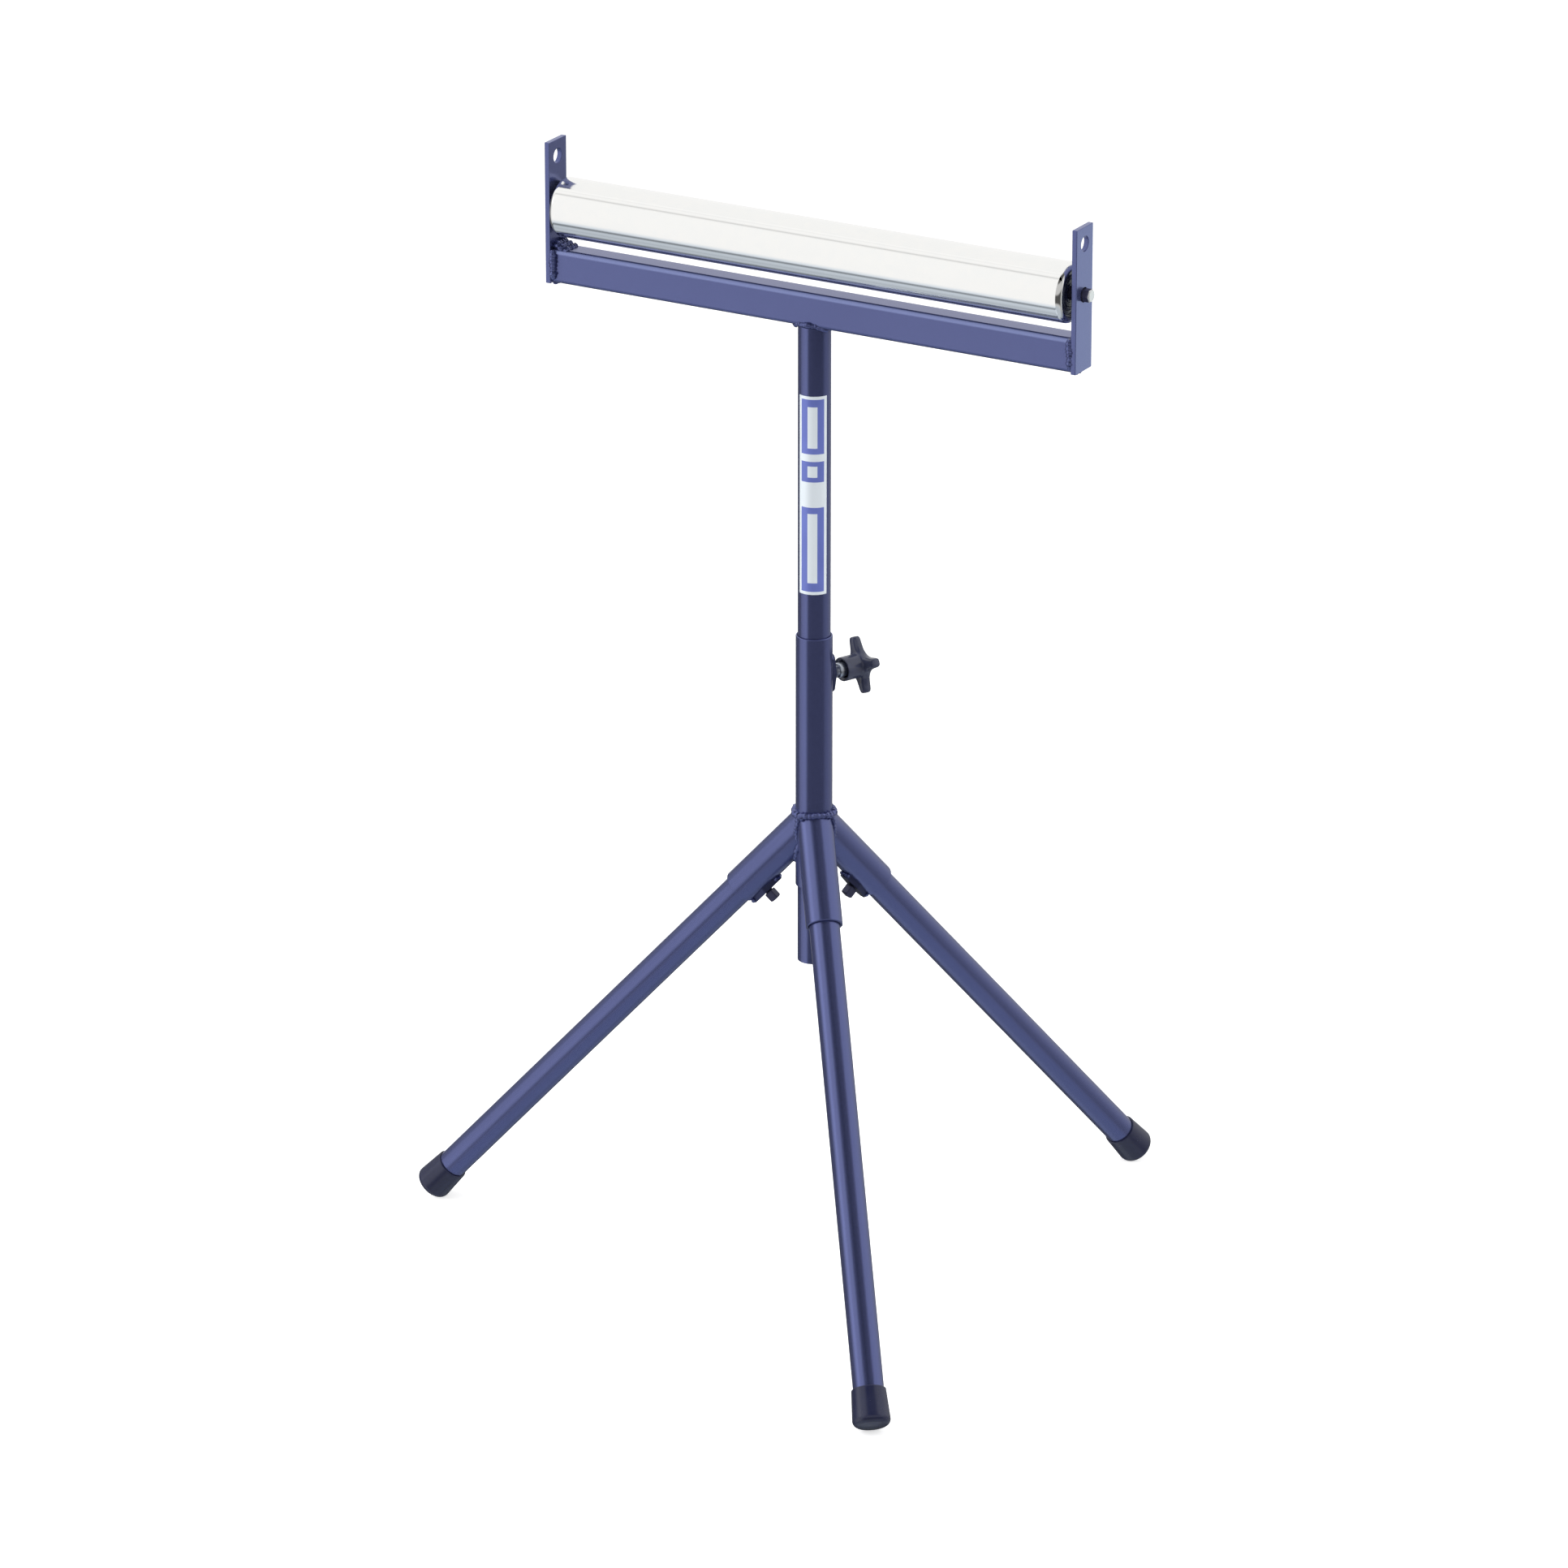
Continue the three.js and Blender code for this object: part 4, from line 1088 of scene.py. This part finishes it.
seal_profile = [
    (SEAL_BORE, lip_back),
    (SEAL_BORE, seal_face - HOUSING_EDGE),
    (SEAL_BORE + HOUSING_EDGE, seal_face),
    (SEAL_BORE + 3 * HOUSING_EDGE, seal_face),
    (SEAL_BORE + 4 * HOUSING_EDGE, seal_face - HOUSING_EDGE),
    (bearing_bore - 3 * HOUSING_EDGE, seal_face - HOUSING_EDGE),
    (bearing_bore - 2 * HOUSING_EDGE, seal_face),
    *arc((bearing_bore - HOUSING_EDGE, seal_face - HOUSING_EDGE), HOUSING_EDGE, 90, 0, steps=4),
    (bearing_bore, lip_back),
    (SEAL_BORE, lip_back),
]
housing_blank = turned("housing_blank", housing_profile)
seal_blank = turned("seal_blank", seal_profile)
for side, hand in (("right", 1), ("left", -1)):
    housing = place(copied(housing_blank, f"housing_{side}_cup"), axle_point, (hand, 0, 0), UP)
    fit(housing, "roller", plastic, "black_plastic", f"bearing_housing_{side}")
    seal = place(copied(seal_blank, f"seal_{side}_ring"), axle_point, (hand, 0, 0), UP)
    fit(seal, "roller", rubber, "black_rubber", f"bearing_seal_{side}")
bpy.data.objects.remove(housing_blank)
bpy.data.objects.remove(seal_blank)

# Axle: a hexagonal steel bar, turned at both ends, which show its bright metal. Its sides are painted dark,
# a painted shade for the shadow and dark reflections on them. It can be pushed to the right against a
# spring inside the roller, until its left end leaves the bracket and the roller lifts out.
AXLE_FLATS = 11 * MM
AXLE_TURNED = 1.5 * MM
AXLE_BRIGHT_FROM = 1.2 * MM  # from the bar's end
AXLE_EDGE = 0.25 * MM
# The dark colours of the bar's sides are painted shade and painted dark reflection; the bright ends are the
# metal's own.
AXLE_SHADE_DARK = (0.045, 0.043, 0.08, 1)
AXLE_SHADE_GREY = (0.085, 0.082, 0.13, 1)
AXLE_BRIGHT = (0.6, 0.61, 0.61, 1)
AXLE_SHADE_BLOTCHES = 300

axle_low, axle_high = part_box("axle")
axle_corner = AXLE_FLATS / 2 / math.cos(math.pi / 6)
axle_finish = Finish(bpy.data.materials.new("hex_bar_painted_shade_bright_ends"))
axle_x = axle_finish.axes(axle_finish.place())[0]
axle_half = (axle_high.x - axle_low.x) / 2
axle_off = abs(axle_x - (axle_low.x + axle_high.x) / 2)
axle_bright_end = axle_finish.step(axle_off, axle_half - AXLE_TURNED, axle_half - AXLE_BRIGHT_FROM)
axle_shade_blotches = axle_finish.noise(AXLE_SHADE_BLOTCHES, detail=4)
axle_painted_shade = axle_finish.mix(axle_shade_blotches, AXLE_SHADE_DARK, AXLE_SHADE_GREY)
axle_finish.into("Principled BSDF", {
    "Base Color": axle_finish.mix(axle_bright_end, axle_painted_shade, AXLE_BRIGHT),
    "Roughness": 0.25 + 0.15 * axle_shade_blotches,
    "Metallic": 0.6,
})

axle = cylinder("axle_bar", axle_corner, axle_low.x, axle_high.x, sides=6)
turning = turned("turning", [
    (0, axle_low.x),
    (axle_corner - AXLE_TURNED, axle_low.x),
    (axle_corner + AXLE_TURNED, axle_low.x + 2 * AXLE_TURNED),
    (axle_corner + AXLE_TURNED, axle_high.x - 2 * AXLE_TURNED),
    (axle_corner - AXLE_TURNED, axle_high.x),
    (0, axle_high.x),
])
cut(axle, turning, operation="INTERSECT")
soften(axle, AXLE_EDGE, steps=2)
smooth(axle)
place(axle, axle_point, (1, 0, 0), UP)
fit(axle, "axle", axle_finish, "bare_steel", "axle")

# Hidden pieces of the roller: races, ball cages, the rings on the axle and its spring, all of plain steel.
# They keep the frame's own solids.
HIDDEN_STEEL = ("axle_stop_ring", "axle_spring_seat", "axle_spring")
HIDDEN_PAIRS = ("bearing_outer_race", "bearing_inner_race", "bearing_ball_cage")

hidden = [f"{name}_{side}" for name in HIDDEN_PAIRS for side in ("left", "right")]
for name in (*HIDDEN_STEEL, *hidden):
    for slot in frame["nodes"][name].material_slots:
        slot.material = steel.owner

# Studio: a white floor that keeps a soft shadow, a white room for what looks straight at it, and softer
# light on the object. In reflections the room has four sides of their own brightness, the dimmest round
# the camera, and a dark seam high up in front.
FLOOR_SIZE = 80
FLOOR_WHITE = (0.8, 0.8, 0.8, 1)
FLOOR_LIFT = (0.6, 0.6, 0.6, 1)
FLOOR_TINT = (0.84, 0.93, 1.04, 1)  # of the floor in reflections
ROOM_LIGHT = 0.6
FRONT_LEVEL = 0.085  # brightness of the room's sides in reflections, and what its parts add or take off
FRONT_FLOOR = 0.5
FRONT_WALL = 0.5
LEFT_LEVEL = 1.02
LEFT_FALL = 0.3
LEFT_GLOW = 0.5
LEFT_FLOOR = 0.16
LEFT_FLOOR_LINE = 0.52
BEHIND_FALL = 0.86
BEHIND_FLOOR = 0.45
RIGHT_LEVEL = 0.34
RIGHT_RISE = 0.1
RIGHT_UPPER = 0.5
SEAM_FALL = 0.34
CAMERA_AT = Vector((3.6507, -6.4483, 3.2978))
CAMERA_AHEAD = Vector((-0.463324, 0.811386, -0.356331))
CAMERA_LENS = 199.86  # on a 36 mm sensor
LAMPS = (  # name, place, aim, size across and up, watts, colour, whether it shows in reflections
    ("left_softbox", (-2.6, -1.6, 2.0), (0, 0, 0.6), (1.2, 2.4), 70, (1, 1, 1), False),
    ("right_softbox", (2.6, 0.4, 1.8), (0, 0, 0.6), (1.0, 2.4), 36, (1, 1, 1), False),
    ("top_softbox", (-0.3, -0.6, 3.4), (0, 0, 0.6), (2.4, 2.0), 50, (1, 1, 1), False),
    ("bracket_card", (0.347, 0.135, 0.921), (0.27, 0, 0.98), (0.18, 0.18), 0.068, (0.86, 1, 1), True),
)

bpy.ops.object.select_all(action="DESELECT")
bpy.ops.mesh.primitive_plane_add(size=FLOOR_SIZE)
floor = bpy.context.object
floor.name = "floor"
floor.visible_glossy = False
floor_finish = Finish(bpy.data.materials.new("white_floor"))
seen = floor_finish.node("LightPath", {}, {}, "Is Camera Ray")
floor_finish.into("Principled BSDF", {
    "Base Color": FLOOR_WHITE,
    "Roughness": 1.0,
    "Specular IOR Level": 0.0,
    "Emission Color": floor_finish.mix(seen, (0, 0, 0, 1), FLOOR_LIFT),
    "Emission Strength": 1.0,
})
floor.data.materials.append(floor_finish.owner)

room = Finish(bpy.data.worlds.new("white_room"))
bpy.context.scene.world = room.owner
ray_x, ray_y, ray_z = room.axes(room.node("TexCoord", {}, {}, "Generated"))
to_camera = level(-CAMERA_AHEAD)
to_left = level(-CAMERA_AHEAD, -math.pi / 2)
ray_front = to_camera.x * ray_x + to_camera.y * ray_y
ray_left = to_left.x * ray_x + to_left.y * ray_y
ray_turn = room.math("ARCTAN2", ray_left, ray_front)
ray_pitch = room.math("ARCTAN2", ray_z, 0 - ray_y)
ray_away = abs(ray_turn)


def ramp(value, start, end):
    return room.step(value, start, end, "SMOOTHSTEP")


def band(value, low, high, blur):
    """1 between two limits, with soft edges."""
    return ramp(value, low - blur, low + blur) * (1 - ramp(value, high - blur, high + blur))


def ramp_angle(angle, start, end):
    return ramp(angle, math.radians(start), math.radians(end))


def band_angle(angle, low, high, blur):
    return band(angle, math.radians(low), math.radians(high), math.radians(blur))


# Angles are in degrees, from the camera to the left. Heights of a ray go from -1, the floor, to 1.
ray_low = 1 - ramp(ray_z, 0, 0.42)
near_floor = 1 - ramp(ray_z, -0.55, -0.42)
front_wall = band(ray_z, 0.02, 0.66, 0.08)
front_level = FRONT_LEVEL + FRONT_FLOOR * near_floor + FRONT_WALL * front_wall
in_front = band_angle(ray_turn, -66, 47, 9) * front_level

side_floor = 1 - ramp(ray_z, -0.72, -0.5)
floor_line = band(ray_z, -0.765, -0.69, 0.03)
left_fall = LEFT_FALL * ramp_angle(ray_turn, 60, 100) * ray_low
left_glow = LEFT_GLOW * band_angle(ray_turn, 76, 104, 8) * band(ray_z, 0.22, 0.5, 0.08)
left_floor = side_floor * (LEFT_FLOOR + LEFT_FLOOR_LINE * floor_line)
on_left = band_angle(ray_turn, 47, 104, 8) * (LEFT_LEVEL - left_fall + left_glow - left_floor)

straight_behind = ramp_angle(ray_away, 150, 168) * ramp(ray_z, -0.42, -0.2)
side_reach = (1 - ramp_angle(ray_away, 118, 138)) * (1 - ramp(ray_z, -0.86, -0.72))
deep_floor = side_reach + (1 - side_reach) * (1 - ramp(ray_z, -0.93, -0.89))
behind_level = 1 - BEHIND_FALL * ray_low * (1 - straight_behind) + BEHIND_FLOOR * deep_floor
behind_turns = band_angle(ray_turn, 104, 200, 6) + band_angle(ray_turn, -200, -150, 6)
behind = behind_turns * behind_level

right_rise = ramp_angle(ray_turn, -62, -105)
right_level = RIGHT_LEVEL + RIGHT_RISE * right_rise + RIGHT_UPPER * ramp(ray_z, -0.3, 0.3)
on_right = band_angle(ray_turn, -150, -66, 9) * right_level

walls = in_front + on_left + behind + on_right
ceiling = ramp(ray_z, 0.95, 1)
seam = SEAM_FALL * band_angle(ray_pitch, 60, 65, 2.5)
reflected = walls + ceiling * (1 - walls) - seam
camera_ray = room.node("LightPath", {}, {}, "Is Camera Ray")
glossy_ray = room.node("LightPath", {}, {}, "Is Glossy Ray")
clear_ray = room.node("LightPath", {}, {}, "Is Transmission Ray")
other_ray = 1 - camera_ray - glossy_ray - clear_ray
room_level = camera_ray + clear_ray + glossy_ray * reflected + ROOM_LIGHT * other_ray
room_tint = room.mix(glossy_ray * side_floor, (1, 1, 1, 1), FLOOR_TINT)
room.into("Background", {"Color": room_tint, "Strength": room_level})

for name, at, aim, size, watts, colour, shows in LAMPS:
    lamp = bpy.data.lights.new(name, "AREA")
    lamp.shape = "RECTANGLE"
    lamp.size, lamp.size_y = size
    lamp.energy = watts
    lamp.color = colour
    softbox = bpy.data.objects.new(name, lamp)
    bpy.context.scene.collection.objects.link(softbox)
    softbox.location = at
    softbox.rotation_euler = (Vector(aim) - Vector(at)).to_track_quat("-Z", "Y").to_euler()
    softbox.visible_camera = False
    softbox.visible_glossy = shows

camera = bpy.data.objects.new("camera", bpy.data.cameras.new("camera"))
bpy.context.scene.collection.objects.link(camera)
camera.location = CAMERA_AT
camera.rotation_euler = CAMERA_AHEAD.to_track_quat("-Z", "Y").to_euler()
camera.data.lens = CAMERA_LENS
bpy.context.scene.camera = camera
bpy.context.scene.view_settings.view_transform = "Standard"
